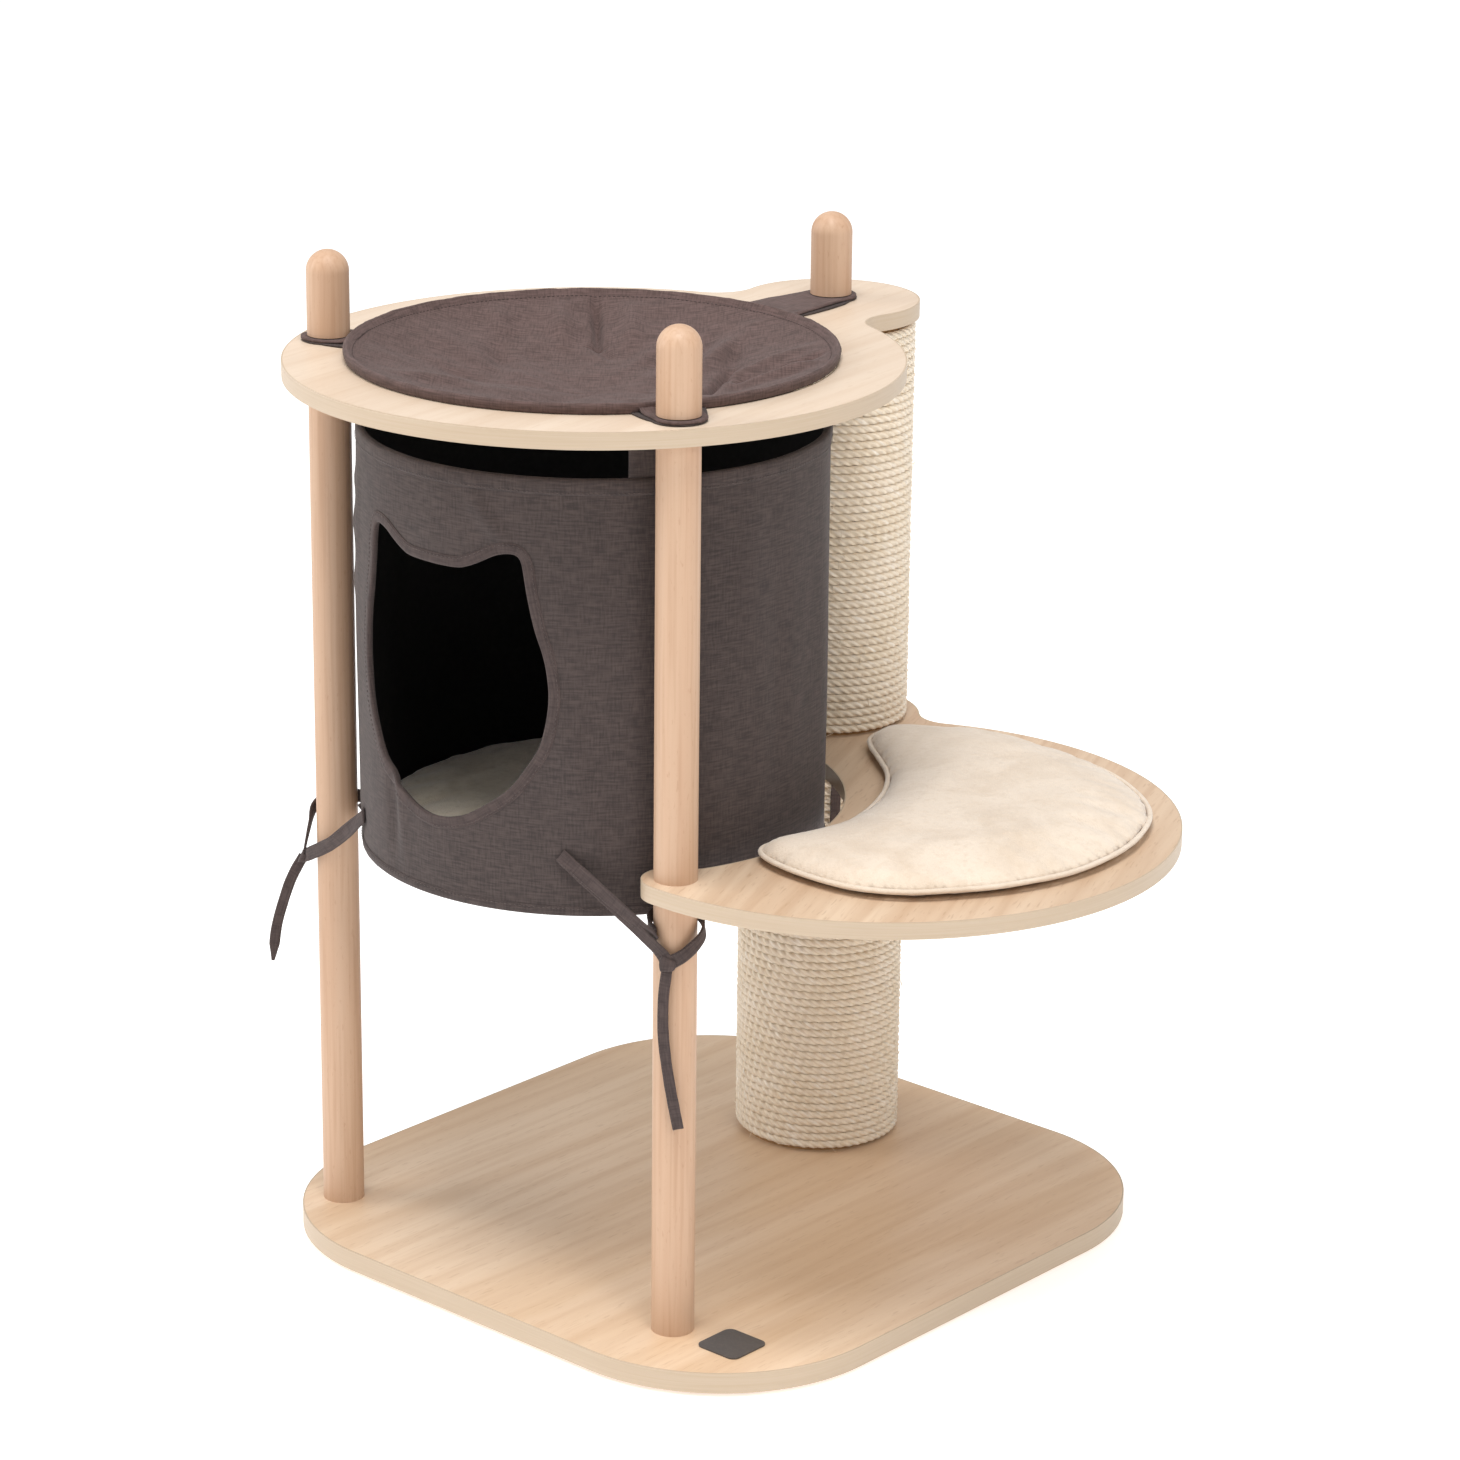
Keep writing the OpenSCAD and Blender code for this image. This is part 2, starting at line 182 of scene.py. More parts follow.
def woodPrint(name, look):
    # Printed wood grain under clear melamine: long streaks, short pores, a satin face
    finish, tree, surface = startFinish(name, {"Roughness": 0.42, "IOR": 1.5})
    place = addNode(tree, "ShaderNodeTexCoord").outputs["Object"]
    turned = addNode(tree, "ShaderNodeMapping", {
        "Vector": place, "Rotation": (0, 0, math.radians(look["turn"])), "Location": look["shift"]}).outputs[0]
    # Millimetres across and along the grain, detail, distortion
    layers = {"figure": (34, 300, 3.0, 0.9), "band": (10, 190, 3.0, 0.3), "streak": (2.4, 60, 3.0, 0.3),
              "pore": (0.8, 7, 1.0, 0.3)}
    fields = {}
    for key, (across, along, detail, distortion) in layers.items():
        scale = (fineness / across, fineness / along, fineness / across)
        fields[key] = noiseField(tree, turned, scale, detail, distortion)
    arches = addNode(tree, "ShaderNodeMapping", {"Vector": turned, "Scale": (13, 1.5, 13)}).outputs[0]
    arches = addNode(tree, "ShaderNodeTexWave", {
        "Vector": arches, "Scale": 1.0, "Distortion": 9.0, "Detail": 3.0, "Detail Scale": 0.9},
        wave_type="BANDS", bands_direction="X").outputs["Fac"]
    contrast = look["contrast"]
    colour = tinted(tree, toLinear(look["mid"]), [
        (fields["figure"], 0.38, 0.62, look["light"], 0.9), (fields["band"], 0.48, 0.7, look["dark"], 0.4 * contrast),
        (fields["streak"], 0.5, 0.75, look["dark"], 0.34 * contrast),
        (fields["pore"], 0.62, 0.74, look["pore"], 0.42 * contrast), (arches, 0.62, 1.0, look["dark"], 0.3 * contrast)])
    height = addNode(tree, "ShaderNodeMath", {0: fields["streak"], 1: fields["pore"]}, operation="SUBTRACT").outputs[0]
    closeFinish(tree, surface, colour, height, 0.12, 0.15, (fields["streak"], 0.36, 0.5))
    return finish


oakBase = woodPrint("oak_melamine_base", {"turn": 0, "shift": (0.31, 0.12, 0), "light": "E2CAAF", "mid": "D6B999",
                                          "dark": "C39E7A", "pore": "B38D6A", "contrast": 0.7})
oakShelf = woodPrint("oak_melamine_shelf", {"turn": -23, "shift": (0.7, 0.4, 0), "light": "D9C2A8", "mid": "CEB296",
                                            "dark": "B59272", "pore": "A58262", "contrast": 0.9})
paleMaple = woodPrint("maple_melamine_plate", {"turn": -8, "shift": (0.2, 0.9, 0), "light": "D7C5B1", "mid": "D1BDA8",
                                               "dark": "C1A78C", "pore": "B79C80", "contrast": 0.6})


def edgeTape():
    # Cream ABS edge tape, ironed on: faint lengthwise print and a slight mottling
    finish, tree, surface = startFinish("cream_abs_edge_tape", {"Roughness": 0.46, "IOR": 1.53})
    place = addNode(tree, "ShaderNodeTexCoord").outputs["Object"]
    lines = noiseField(tree, place, (12, 12, 900))
    colour = tinted(tree, toLinear("BFAC95"), [(lines, 0.35, 0.7, "B7A288", 0.7)])
    closeFinish(tree, surface, colour, noiseField(tree, place, 220.0, 3.0), 0.15, 0.1)
    return finish


def beechWood():
    # Turned beech, sanded and matt lacquered: pinkish, soft upright grain, short brown ray flecks
    finish, tree, surface = startFinish("beech_matt_lacquer", {"Roughness": 0.5, "IOR": 1.5})
    place = addNode(tree, "ShaderNodeTexCoord").outputs["Object"]
    figure, grain, fleck = (
        noiseField(tree, place, (fineness / across, fineness / across, fineness / along), 2.0, 0.3)
        for across, along in ((9, 180), (1.5, 60), (0.8, 3.6)))
    colour = tinted(tree, toLinear("C6A68B"), [(figure, 0.35, 0.68, "BD987B", 0.7), (grain, 0.45, 0.72, "AE8768", 0.45),
                                               (fleck, 0.64, 0.74, "A67D5E", 0.32)])
    closeFinish(tree, surface, colour, grain, 0.15, 0.12, (grain, 0.42, 0.58))
    return finish


def sisalFibre():
    # Unoiled sisal, three strands laid into rope: dry, pale straw, each fibre catching its own light
    finish, tree, surface = startFinish("natural_sisal", {"Roughness": 0.85, "IOR": 1.45, "Sheen Weight": 0.25,
                                                          "Sheen Roughness": 0.6})
    strand = addNode(tree, "ShaderNodeAttribute", attribute_name="strand").outputs["Vector"]
    place = addNode(tree, "ShaderNodeTexCoord").outputs["Object"]
    fine = noiseField(tree, strand, (110, 1600, 1600))
    tuft = noiseField(tree, strand, (28, 240, 240))
    patch = noiseField(tree, place, 26.0)
    # Grooves between the three strands: they shape the relief, and a painted shade darkens the colour in them
    parts = addNode(tree, "ShaderNodeSeparateXYZ", {0: strand}).outputs
    lay = addNode(tree, "ShaderNodeMath", {0: parts[2], 1: parts[1]}, operation="ARCTAN2").outputs[0]
    lay = addNode(tree, "ShaderNodeMath", {0: lay, 1: 3.0}, operation="MULTIPLY").outputs[0]
    lay = addNode(tree, "ShaderNodeMath", {0: lay}, operation="COSINE").outputs[0]
    grooveShade = addNode(tree, "ShaderNodeMapRange", {"Value": lay, "From Min": -0.55, "From Max": -0.98}).outputs[0]
    # The last layer is painted shade in the grooves between the strands
    colour = tinted(tree, toLinear("F1E3CE"), [(patch, 0.35, 0.7, "E6D5BA", 0.6), (tuft, 0.5, 0.75, "F9F2E7", 0.7),
                                               (fine, 0.55, 0.8, "DCC5A6", 0.4), (grooveShade, 0.0, 1.0, "C2A580", 0.32)])
    height = addNode(tree, "ShaderNodeMath", {0: fine, 1: lay}, operation="ADD").outputs[0]
    closeFinish(tree, surface, colour, height, 0.7, 0.35)
    return finish


def linenWeave(name, tint, slub, dark):
    # Linen-look polyester, plain woven from slubbed yarn: short thick threads cross both ways.
    # The yarn is 0.5 mm and is drawn wider so that it shows.
    finish, tree, surface = startFinish(name, {"Roughness": 0.9, "IOR": 1.45, "Sheen Weight": 0.06,
                                               "Sheen Roughness": 0.5})
    cloth = addNode(tree, "ShaderNodeUVMap", uv_map="cloth").outputs["UV"]
    weft, warp, wear, blot = (
        noiseField(tree, cloth, (fineness / wide, fineness / tall, 1), noise_dimensions="2D")
        for wide, tall in ((7, 0.65), (0.65, 5), (60, 45), (9, 5)))
    between = addNode(tree, "ShaderNodeMath", {0: weft, 1: warp}, operation="MINIMUM").outputs[0]
    colour = tinted(tree, toLinear(tint), [
        (wear, 0.3, 0.7, slub, 0.18), (weft, 0.42, 0.72, slub, 0.62), (warp, 0.46, 0.76, slub, 0.45),
        (blot, 0.5, 0.8, dark, 0.2), (between, 0.42, 0.28, dark, 0.35)])
    height = addNode(tree, "ShaderNodeMath", {0: weft, 1: warp}, operation="ADD").outputs[0]
    closeFinish(tree, surface, colour, height, 0.5, 0.3)
    return finish


def plushPile(name, tint, shade):
    # Short-pile polyester plush: soft mottling where the nap lies different ways, light catching the tips
    finish, tree, surface = startFinish(name, {"Roughness": 0.95, "IOR": 1.45, "Sheen Weight": 0.55,
                                               "Sheen Roughness": 0.45})
    place = addNode(tree, "ShaderNodeTexCoord").outputs["Object"]
    nap, tuft = noiseField(tree, place, 22.0, 3.0, 0.8), noiseField(tree, place, 210.0, 3.0)
    colour = tinted(tree, toLinear(tint), [(nap, 0.42, 0.68, shade, 0.6), (tuft, 0.5, 0.75, shade, 0.45)])
    height = addNode(tree, "ShaderNodeMath", {0: tuft, 1: noiseField(tree, place, 900.0)}, operation="ADD").outputs[0]
    closeFinish(tree, surface, colour, height, 0.55, 0.9)
    return finish


def speckled(name, shader, tint, spot, grain, relief):
    # A plain finish with a fine grain of a second shade and a little relief
    finish, tree, surface = startFinish(name, shader)
    field = noiseField(tree, addNode(tree, "ShaderNodeTexCoord").outputs["Object"], fineness / grain, 3.0)
    closeFinish(tree, surface, tinted(tree, toLinear(tint), [(field, 0.4, 0.7, spot, 1.0)]), field, 0.3, relief)
    return finish


creamTape = edgeTape()
beech = beechWood()
sisal = sisalFibre()
linen = linenWeave("linen_look_weave", "3B3230", "534744", "252020")
linenTop = linenWeave("linen_look_hammock", "4E3D39", "685350", "322523")
tape = linenWeave("linen_look_tape", "403533", "534643", "2A2221")
plush = plushPile("cream_plush", "E3D4C2", "D0BDA7")
plushDark = plushPile("den_plush", "EADFCB", "C0B299")
# Non-woven polyester lining: black, soft, hardly any light back
lining = speckled("black_nonwoven", {"Roughness": 0.95, "IOR": 1.45}, "0B0A0A", "131212", 2.0, 0.2)
# Electroplated zinc on steel: pale grey metal with a faint spangle
zinc = speckled("zinc_plate", {"Metallic": 1.0, "Roughness": 0.32}, "C9CACB", "B2B4B6", 1.4, 0.03)
# Turned brass insert: yellow metal, machined
brass = speckled("turned_brass", {"Metallic": 1.0, "Roughness": 0.28}, "D9B561", "C9A24E", 1.0, 0.03)
# Spiral-wound kraft board: brown paper with darker fibre
kraft = speckled("kraft_board", {"Roughness": 0.88, "IOR": 1.45}, "B08A60", "96734D", 2.2, 0.15)
# Raw fibreboard plug: packed brown fibre
fibreboard = speckled("raw_fibreboard", {"Roughness": 0.85, "IOR": 1.45}, "B79266", "A07B52", 0.8, 0.15)
# Pressed wool felt: dark, matt, hairy
felt = speckled("pressed_felt", {"Roughness": 0.97, "IOR": 1.45, "Sheen Weight": 0.3}, "45413D", "5A5550", 1.2, 0.3)
# Satin screen-printed aluminium plate: charcoal lacquer, fine grit
badgePlate = speckled("charcoal_plate", {"Roughness": 0.38, "IOR": 1.5}, "45403E", "4E4846", 0.9, 0.05)
# Polyester sewing thread: a shade lighter than the cloth, slightly glossy
thread = speckled("sewing_thread", {"Roughness": 0.6, "IOR": 1.5}, "4A3E3C", "564946", 0.6, 0.05)
# White paper sweep on the studio floor
paper = speckled("paper_sweep", {"Roughness": 0.9, "IOR": 1.4, "Emission Color": (1, 1, 1, 1),
                                 "Emission Strength": 0.42}, "F8F8F8", "F6F6F6", 40.0, 0.02)

# CAD pieces shown as they are, by finish
finishedNodes = [
    (oakBase, ["base_board"]), (oakShelf, ["middle_shelf"]), (paleMaple, ["top_plate"]),
    (creamTape, ["base_edge_band", "shelf_edge_band", "top_plate_edge_band"]), (felt, ["base_feet"]),
    (badgePlate, ["base_badge"]), (fibreboard, ["column_end_plugs"]),
    (beech, ["left_post", "front_post_lower", "front_post_upper", "left_finial", "front_finial", "rear_finial"]),
    (brass, ["post_inserts", "left_finial_insert", "front_finial_insert", "rear_finial_insert"]),
    (kraft, ["lower_column_tube", "upper_column_tube", "den_floor"]),
    (zinc, ["base_bolts", "base_washers", "column_tee_nuts", "shelf_studs", "top_studs", "hammock_hoop",
            "den_top_hoop", "den_bottom_hoop"])]
for finish, nodes in finishedNodes:
    for node in nodes:
        for holder in frame["nodes"][node].material_slots:
            holder.material = finish
print("finishes made")


# ---- mesh helpers ----

def newPiece(name, mesh, finish=None):
    piece = bpy.data.objects.new(name, mesh)
    scene.collection.objects.link(piece)
    if finish:
        mesh.materials.clear()
        mesh.materials.append(finish)
    return piece


def settle(piece, body, slot, *nodes):
    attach(piece, body)
    if nodes:
        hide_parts(*nodes)
    return piece


def buildMesh(name, points, faces, finish, faceUvs=None, merge=0.0):
    mesh = bpy.data.meshes.new(name)
    mesh.from_pydata([tuple(p) for p in points], [], faces)
    if faceUvs:
        layer = mesh.uv_layers.new(name="cloth")
        for i, uv in enumerate(uv for face in faceUvs for uv in face):
            layer.data[i].uv = uv
    work = bmesh.new()
    work.from_mesh(mesh)
    if merge:
        bmesh.ops.remove_doubles(work, verts=work.verts, dist=merge)
    bmesh.ops.recalc_face_normals(work, faces=work.faces)
    for face in work.faces:
        face.smooth = True
    work.to_mesh(mesh)
    work.free()
    return newPiece(name, mesh, finish)


def lengthsOf(points, closed=False):
    total, found = 0.0, [0.0]
    around = list(points) + ([points[0]] if closed else [])
    for a, b in zip(around, around[1:]):
        total += (Vector(b) - Vector(a)).length
        found.append(total)
    return found


def loft(name, rings, finish, closedPath=False):
    # Joins rings of points into a tube; cloth coordinates run along the path and round the ring, in metres
    count, size = len(rings), len(rings[0])
    centres = [sum((Vector(p) for p in ring), Vector()) / size for ring in rings]
    along = lengthsOf(centres, closedPath)
    around = lengthsOf(rings[0], True)
    points = [p for ring in rings for p in ring]
    faces, uvs = [], []
    for i in range(count if closedPath else count - 1):
        k = (i + 1) % count
        for j in range(size):
            n = (j + 1) % size
            faces.append((i * size + j, k * size + j, k * size + n, i * size + n))
            uvs.append(((along[i], around[j]), (along[i + 1], around[j]), (along[i + 1], around[j + 1]),
                        (along[i], around[j + 1])))
    if not closedPath:
        for start in (0, (count - 1) * size):
            faces.append(tuple(start + j for j in range(size)))
            uvs.append(tuple((around[j], 0.0) for j in range(size)))
    return buildMesh(name, points, faces, finish, uvs)


def smoothPath(controls, step, closed=False):
    # Catmull-Rom curve through the controls, resampled at even steps
    pts = [Vector(p) for p in controls]
    n, dense = len(pts), []
    for i in range(n if closed else n - 1):
        a = pts[(i - 1) % n] if closed or i > 0 else 2 * pts[0] - pts[1]
        b, c = pts[i], pts[(i + 1) % n]
        d = pts[(i + 2) % n] if closed or i + 2 < n else 2 * pts[-1] - pts[-2]
        for k in range(24):
            t = k / 24
            dense.append(0.5 * (2 * b + (c - a) * t + (2 * a - 5 * b + 4 * c - d) * t * t
                                + (3 * b - a - 3 * c + d) * t ** 3))
    dense.append(dense[0].copy() if closed else pts[-1])
    lengths = lengthsOf(dense)
    number = max(2, round(lengths[-1] / step))
    found, k = [], 0
    for i in range(number + (0 if closed else 1)):
        goal = lengths[-1] * i / number
        while k < len(lengths) - 2 and lengths[k + 1] < goal:
            k += 1
        share = (goal - lengths[k]) / max(lengths[k + 1] - lengths[k], 1e-9)
        found.append(dense[k].lerp(dense[k + 1], min(max(share, 0), 1)))
    return found


def insideMany(points, polygon):
    # Which of the points lie inside the polygon
    p, a = np.array(points, float).reshape(-1, 2), np.array(polygon, float)
    b = np.roll(a, -1, axis=0)
    crosses = (a[:, 1] > p[:, 1, None]) != (b[:, 1] > p[:, 1, None])
    rise = np.where(b[:, 1] == a[:, 1], 1e-12, b[:, 1] - a[:, 1])
    at = a[:, 0] + (b[:, 0] - a[:, 0]) * (p[:, 1, None] - a[:, 1]) / rise
    return (crosses & (p[:, 0, None] < at)).sum(axis=1) % 2 == 1


def distanceMany(points, polygon):
    # Distance of each point from the polygon's line
    p, a = np.array(points, float).reshape(-1, 2), np.array(polygon, float)
    run = np.roll(a, -1, axis=0) - a
    size = (run ** 2).sum(axis=1) + 1e-18
    best = np.full(len(p), 1e9)
    for start in range(0, len(a), 64):
        part, along = a[start:start + 64], run[start:start + 64]
        gap = p[:, None] - part
        t = np.clip((gap * along).sum(axis=2) / size[start:start + 64], 0, 1)
        best = np.minimum(best, np.linalg.norm(gap - t[..., None] * along, axis=2).min(axis=1))
    return best


def cutFlat(border, hole, step):
    # Triangles of a flat shape with exact edges: border is a polygon, hole another or None
    points, edges = [], []
    for polygon in [border] + ([hole] if hole else []):
        first = len(points)
        points += [tuple(p) for p in polygon]
        edges += [(first + i, first + (i + 1) % len(polygon)) for i in range(len(polygon))]
    lowX, highX = min(p[0] for p in border), max(p[0] for p in border)
    lowY, highY = min(p[1] for p in border), max(p[1] for p in border)
    rows, columns = int((highY - lowY) / (step * 0.87)) + 1, int((highX - lowX) / step) + 1
    grid = np.array([(lowX + (highX - lowX) * (c + (0.5 if r % 2 else 0)) / columns, lowY + (highY - lowY) * r / rows)
                     for r in range(1, rows) for c in range(columns + 1)])
    keep = insideMany(grid, border) & (distanceMany(grid, border) > step * 0.5)
    if hole:
        keep &= ~insideMany(grid, hole) & (distanceMany(grid, hole) > step * 0.5)
    points += [tuple(p) for p in grid[keep]]
    verts, _, faces, *_ = delaunay_2d_cdt([Vector(p) for p in points], edges, [], 0, 1e-6)
    flat = np.array([tuple(v) for v in verts])
    centres = flat[np.array(faces)].mean(axis=1)
    good = insideMany(centres, border)
    if hole:
        good &= ~insideMany(centres, hole)
    return verts, [tuple(face) for face, kept in zip(faces, good) if kept]


def evaluatedCopy(holder, name):
    depsgraph = bpy.context.evaluated_depsgraph_get()
    mesh = bpy.data.meshes.new_from_object(holder.evaluated_get(depsgraph), preserve_all_data_layers=True,
                                           depsgraph=depsgraph)
    mesh.name = name
    bpy.data.objects.remove(holder)
    return newPiece(name, mesh)


def finishModifiers(piece):
    name = piece.name
    piece.name = name + "_raw"
    made = evaluatedCopy(piece, name)
    made.name = name
    return made


def thicken(piece, thickness, offset=-1):
    layer = piece.modifiers.new("cloth", "SOLIDIFY")
    layer.thickness, layer.offset = thickness, offset
    return finishModifiers(piece)


def polar(degrees, reach):
    # Offset of a point at an angle and a distance
    return reach * math.cos(math.radians(degrees)), reach * math.sin(math.radians(degrees))


def circle(centre, radius, count, z):
    # z is a height or a function of the point's number
    angles = [2 * math.pi * j / count for j in range(count)]
    return [Vector((centre[0] + radius * math.cos(a), centre[1] + radius * math.sin(a), z(j) if callable(z) else z))
            for j, a in enumerate(angles)]


# ---- geometry node trees ----

def startTree(name, sockets):
    # Each input's kind follows its value; one without a value takes a material
    tree = bpy.data.node_groups.new(name, "GeometryNodeTree")
    tree.interface.new_socket("Geometry", in_out="INPUT", socket_type="NodeSocketGeometry")
    for label, value in sockets.items():
        kind = {float: "NodeSocketFloat", int: "NodeSocketInt", type(None): "NodeSocketMaterial"}[type(value)]
        made = tree.interface.new_socket(label, in_out="INPUT", socket_type=kind)
        if value is not None:
            made.default_value = value
    tree.interface.new_socket("Geometry", in_out="OUTPUT", socket_type="NodeSocketGeometry")
    return tree, addNode(tree, "NodeGroupInput").outputs


def endTree(tree, geometry, finish, smooth=True):
    # Smooth shading, real geometry, the finish, the output
    kinds = (["SetShadeSmooth"] if smooth else []) + ["RealizeInstances"]
    for kind in kinds:
        geometry = addNode(tree, "GeometryNode" + kind, {"Geometry": geometry}).outputs[0]
    geometry = addNode(tree, "GeometryNodeSetMaterial", {"Geometry": geometry, "Material": finish}).outputs[0]
    addNode(tree, "NodeGroupOutput", {"Geometry": geometry})
    return tree


def grow(name, tree, values, holder=None):
    if holder is None:
        holder = newPiece(name + "_holder", bpy.data.meshes.new(name + "_holder"))
    modifier = holder.modifiers.new(tree.name, "NODES")
    for item in tree.interface.items_tree:
        if item.in_out == "INPUT" and item.name in values:
            values[item.identifier] = values.pop(item.name)
    modifier.node_group = tree
    for key, value in values.items():
        modifier[key] = value
    return evaluatedCopy(holder, name)


def ropeTree():
    tree, given = startTree("rope_winding", {
        "Column Radius": 0.0595, "Rope Radius": 0.003, "Turns": 53.0, "Height": 0.3, "Start Height": 0.0,
        "Strand Length": 0.021, "Strand Depth": 0.12, "Unevenness": 0.0004, "Points A Turn": 170, "Seed": 1,
        "Finish": None})
    coil = addNode(tree, "GeometryNodeCurveSpiral", {
        "Resolution": given["Points A Turn"], "Rotations": given["Turns"], "Start Radius": given["Column Radius"],
        "End Radius": given["Column Radius"], "Height": given["Height"]}).outputs[0]
    lift = addNode(tree, "ShaderNodeCombineXYZ", {2: given["Start Height"]}).outputs[0]
    coil = addNode(tree, "GeometryNodeTransform", {"Geometry": coil, "Translation": lift}).outputs[0]
    position = addNode(tree, "GeometryNodeInputPosition").outputs[0]
    wander = addNode(tree, "ShaderNodeTexNoise", {"Vector": position, "W": given["Seed"], "Scale": 45.0,
                                                  "Detail": 2.0}, noise_dimensions="4D").outputs["Color"]
    wander = addNode(tree, "ShaderNodeVectorMath", {0: wander, 1: (0.5, 0.5, 0.5)}, operation="SUBTRACT").outputs[0]
    wander = addNode(tree, "ShaderNodeVectorMath", {0: wander, "Scale": given["Unevenness"]},
                     operation="SCALE").outputs[0]
    coil = addNode(tree, "GeometryNodeSetPosition", {"Geometry": coil, "Offset": wander}).outputs[0]
    coil = addNode(tree, "GeometryNodeSetCurveNormal", {"Curve": coil}, mode="Z_UP").outputs[0]
    length = addNode(tree, "GeometryNodeSplineParameter").outputs["Length"]
    turn = addNode(tree, "ShaderNodeMath", {0: length, 1: given["Strand Length"]}, operation="DIVIDE").outputs[0]
    turn = addNode(tree, "ShaderNodeMath", {0: turn, 1: 2 * math.pi}, operation="MULTIPLY").outputs[0]
    coil = addNode(tree, "GeometryNodeSetCurveTilt", {"Curve": coil, "Tilt": turn}).outputs[0]
    along = addNode(tree, "GeometryNodeCaptureAttribute", {"Geometry": coil}, domain="POINT")
    along.capture_items.new("FLOAT", "along")
    tree.links.new(length, along.inputs[1])
    ring = addNode(tree, "GeometryNodeCurvePrimitiveCircle", {
        "Resolution": 12, "Radius": given["Rope Radius"]}).outputs[0]
    share = addNode(tree, "GeometryNodeSplineParameter").outputs["Factor"]
    angle = addNode(tree, "ShaderNodeMath", {0: share, 1: 2 * math.pi}, operation="MULTIPLY").outputs[0]
    lobes = addNode(tree, "ShaderNodeMath", {0: angle, 1: 3.0}, operation="MULTIPLY").outputs[0]
    lobes = addNode(tree, "ShaderNodeMath", {0: lobes}, operation="COSINE").outputs[0]
    lobes = addNode(tree, "ShaderNodeMath", {0: lobes, 1: given["Strand Depth"]}, operation="MULTIPLY").outputs[0]
    spot = addNode(tree, "GeometryNodeInputPosition").outputs[0]
    spot = addNode(tree, "ShaderNodeVectorMath", {0: spot, "Scale": lobes}, operation="SCALE").outputs[0]
    ring = addNode(tree, "GeometryNodeSetPosition", {"Geometry": ring, "Offset": spot}).outputs[0]
    around = addNode(tree, "GeometryNodeCaptureAttribute", {"Geometry": ring}, domain="POINT")
    around.capture_items.new("FLOAT", "around")
    tree.links.new(angle, around.inputs[1])
    rope = addNode(tree, "GeometryNodeCurveToMesh", {
        "Curve": along.outputs[0], "Profile Curve": around.outputs[0], "Fill Caps": True}).outputs[0]
    parts = [addNode(tree, "ShaderNodeMath", {0: around.outputs[1]}, operation=kind).outputs[0]
             for kind in ("COSINE", "SINE")]
    parts = [addNode(tree, "ShaderNodeMath", {0: part, 1: given["Rope Radius"]}, operation="MULTIPLY").outputs[0]
             for part in parts]
    strand = addNode(tree, "ShaderNodeCombineXYZ", {0: along.outputs[1], 1: parts[0], 2: parts[1]}).outputs[0]
    rope = addNode(tree, "GeometryNodeStoreNamedAttribute", {"Geometry": rope, "Name": "strand", "Value": strand},
                   data_type="FLOAT_VECTOR", domain="POINT").outputs[0]
    return endTree(tree, rope, given["Finish"])


def fibreTree():
    # Loose sisal hairs that stand off the winding
    tree, given = startTree("loose_fibres", {
        "Radius": 0.0618, "Height": 0.3, "Hair Width": 0.00022, "Density": 9000.0, "Seed": 3, "Finish": None})
    skin = addNode(tree, "GeometryNodeMeshCylinder", {
        "Vertices": 48, "Side Segments": 8, "Radius": given["Radius"], "Depth": given["Height"]},
        fill_type="NONE").outputs[0]
    points = addNode(tree, "GeometryNodeDistributePointsOnFaces", {
        "Mesh": skin, "Density": given["Density"], "Seed": given["Seed"]}, distribute_method="RANDOM")
    hair = addNode(tree, "GeometryNodeCurveQuadraticBezier", {
        "Resolution": 4, "Start": (0, 0, -0.0006), "Middle": (0.004, 0, 0.0006),
        "End": (0.008, 0.001, 0.0022)}).outputs[0]
    cross = addNode(tree, "GeometryNodeCurvePrimitiveCircle", {
        "Resolution": 3, "Radius": given["Hair Width"]}).outputs[0]
    hair = addNode(tree, "GeometryNodeCurveToMesh", {
        "Curve": hair, "Profile Curve": cross, "Fill Caps": True}).outputs[0]
    spin = addNode(tree, "FunctionNodeRandomValue", {"Min": (0, -0.1, 0), "Max": (0, 0.25, 2 * math.pi),
                                                     "Seed": given["Seed"]}, data_type="FLOAT_VECTOR")
    turn = addNode(tree, "FunctionNodeEulerToRotation", {0: spin.outputs[0]}).outputs[0]
    turn = addNode(tree, "FunctionNodeRotateRotation", {"Rotation": points.outputs["Rotation"], "Rotate By": turn},
                   rotation_space="LOCAL").outputs[0]
    size = addNode(tree, "FunctionNodeRandomValue", {"Min": 0.35, "Max": 1.15, "Seed": given["Seed"]},
                   data_type="FLOAT").outputs[1]
    hairs = addNode(tree, "GeometryNodeInstanceOnPoints", {
        "Points": points.outputs["Points"], "Instance": hair, "Rotation": turn, "Scale": size}).outputs[0]
    return endTree(tree, hairs, given["Finish"], smooth=False)


def stitchTree():
    # A row of short thread stitches along an edge line
    tree, given = startTree("stitch_row", {
        "Pitch": 0.0034, "Stitch Length": 0.0024, "Thread": 0.0007, "Finish": None})
    line = addNode(tree, "GeometryNodeMeshToCurve", {"Mesh": given["Geometry"]}).outputs[0]
    line = addNode(tree, "GeometryNodeResampleCurve", {"Curve": line, "Length": given["Pitch"]}, mode="LENGTH")
    tangent = addNode(tree, "GeometryNodeInputTangent").outputs[0]
    turn = addNode(tree, "FunctionNodeAlignRotationToVector", {"Vector": tangent}, axis="X").outputs[0]
    size = addNode(tree, "ShaderNodeCombineXYZ", {0: given["Stitch Length"], 1: given["Thread"],
                                                  2: given["Thread"]}).outputs[0]
    bead = addNode(tree, "GeometryNodeMeshIcoSphere", {"Radius": 0.5, "Subdivisions": 1}).outputs[0]
    row = addNode(tree, "GeometryNodeInstanceOnPoints", {
        "Points": line.outputs[0], "Instance": bead, "Rotation": turn, "Scale": size}).outputs[0]
    return endTree(tree, row, given["Finish"])


ropeWinding, looseFibres, stitchRow = ropeTree(), fibreTree(), stitchTree()


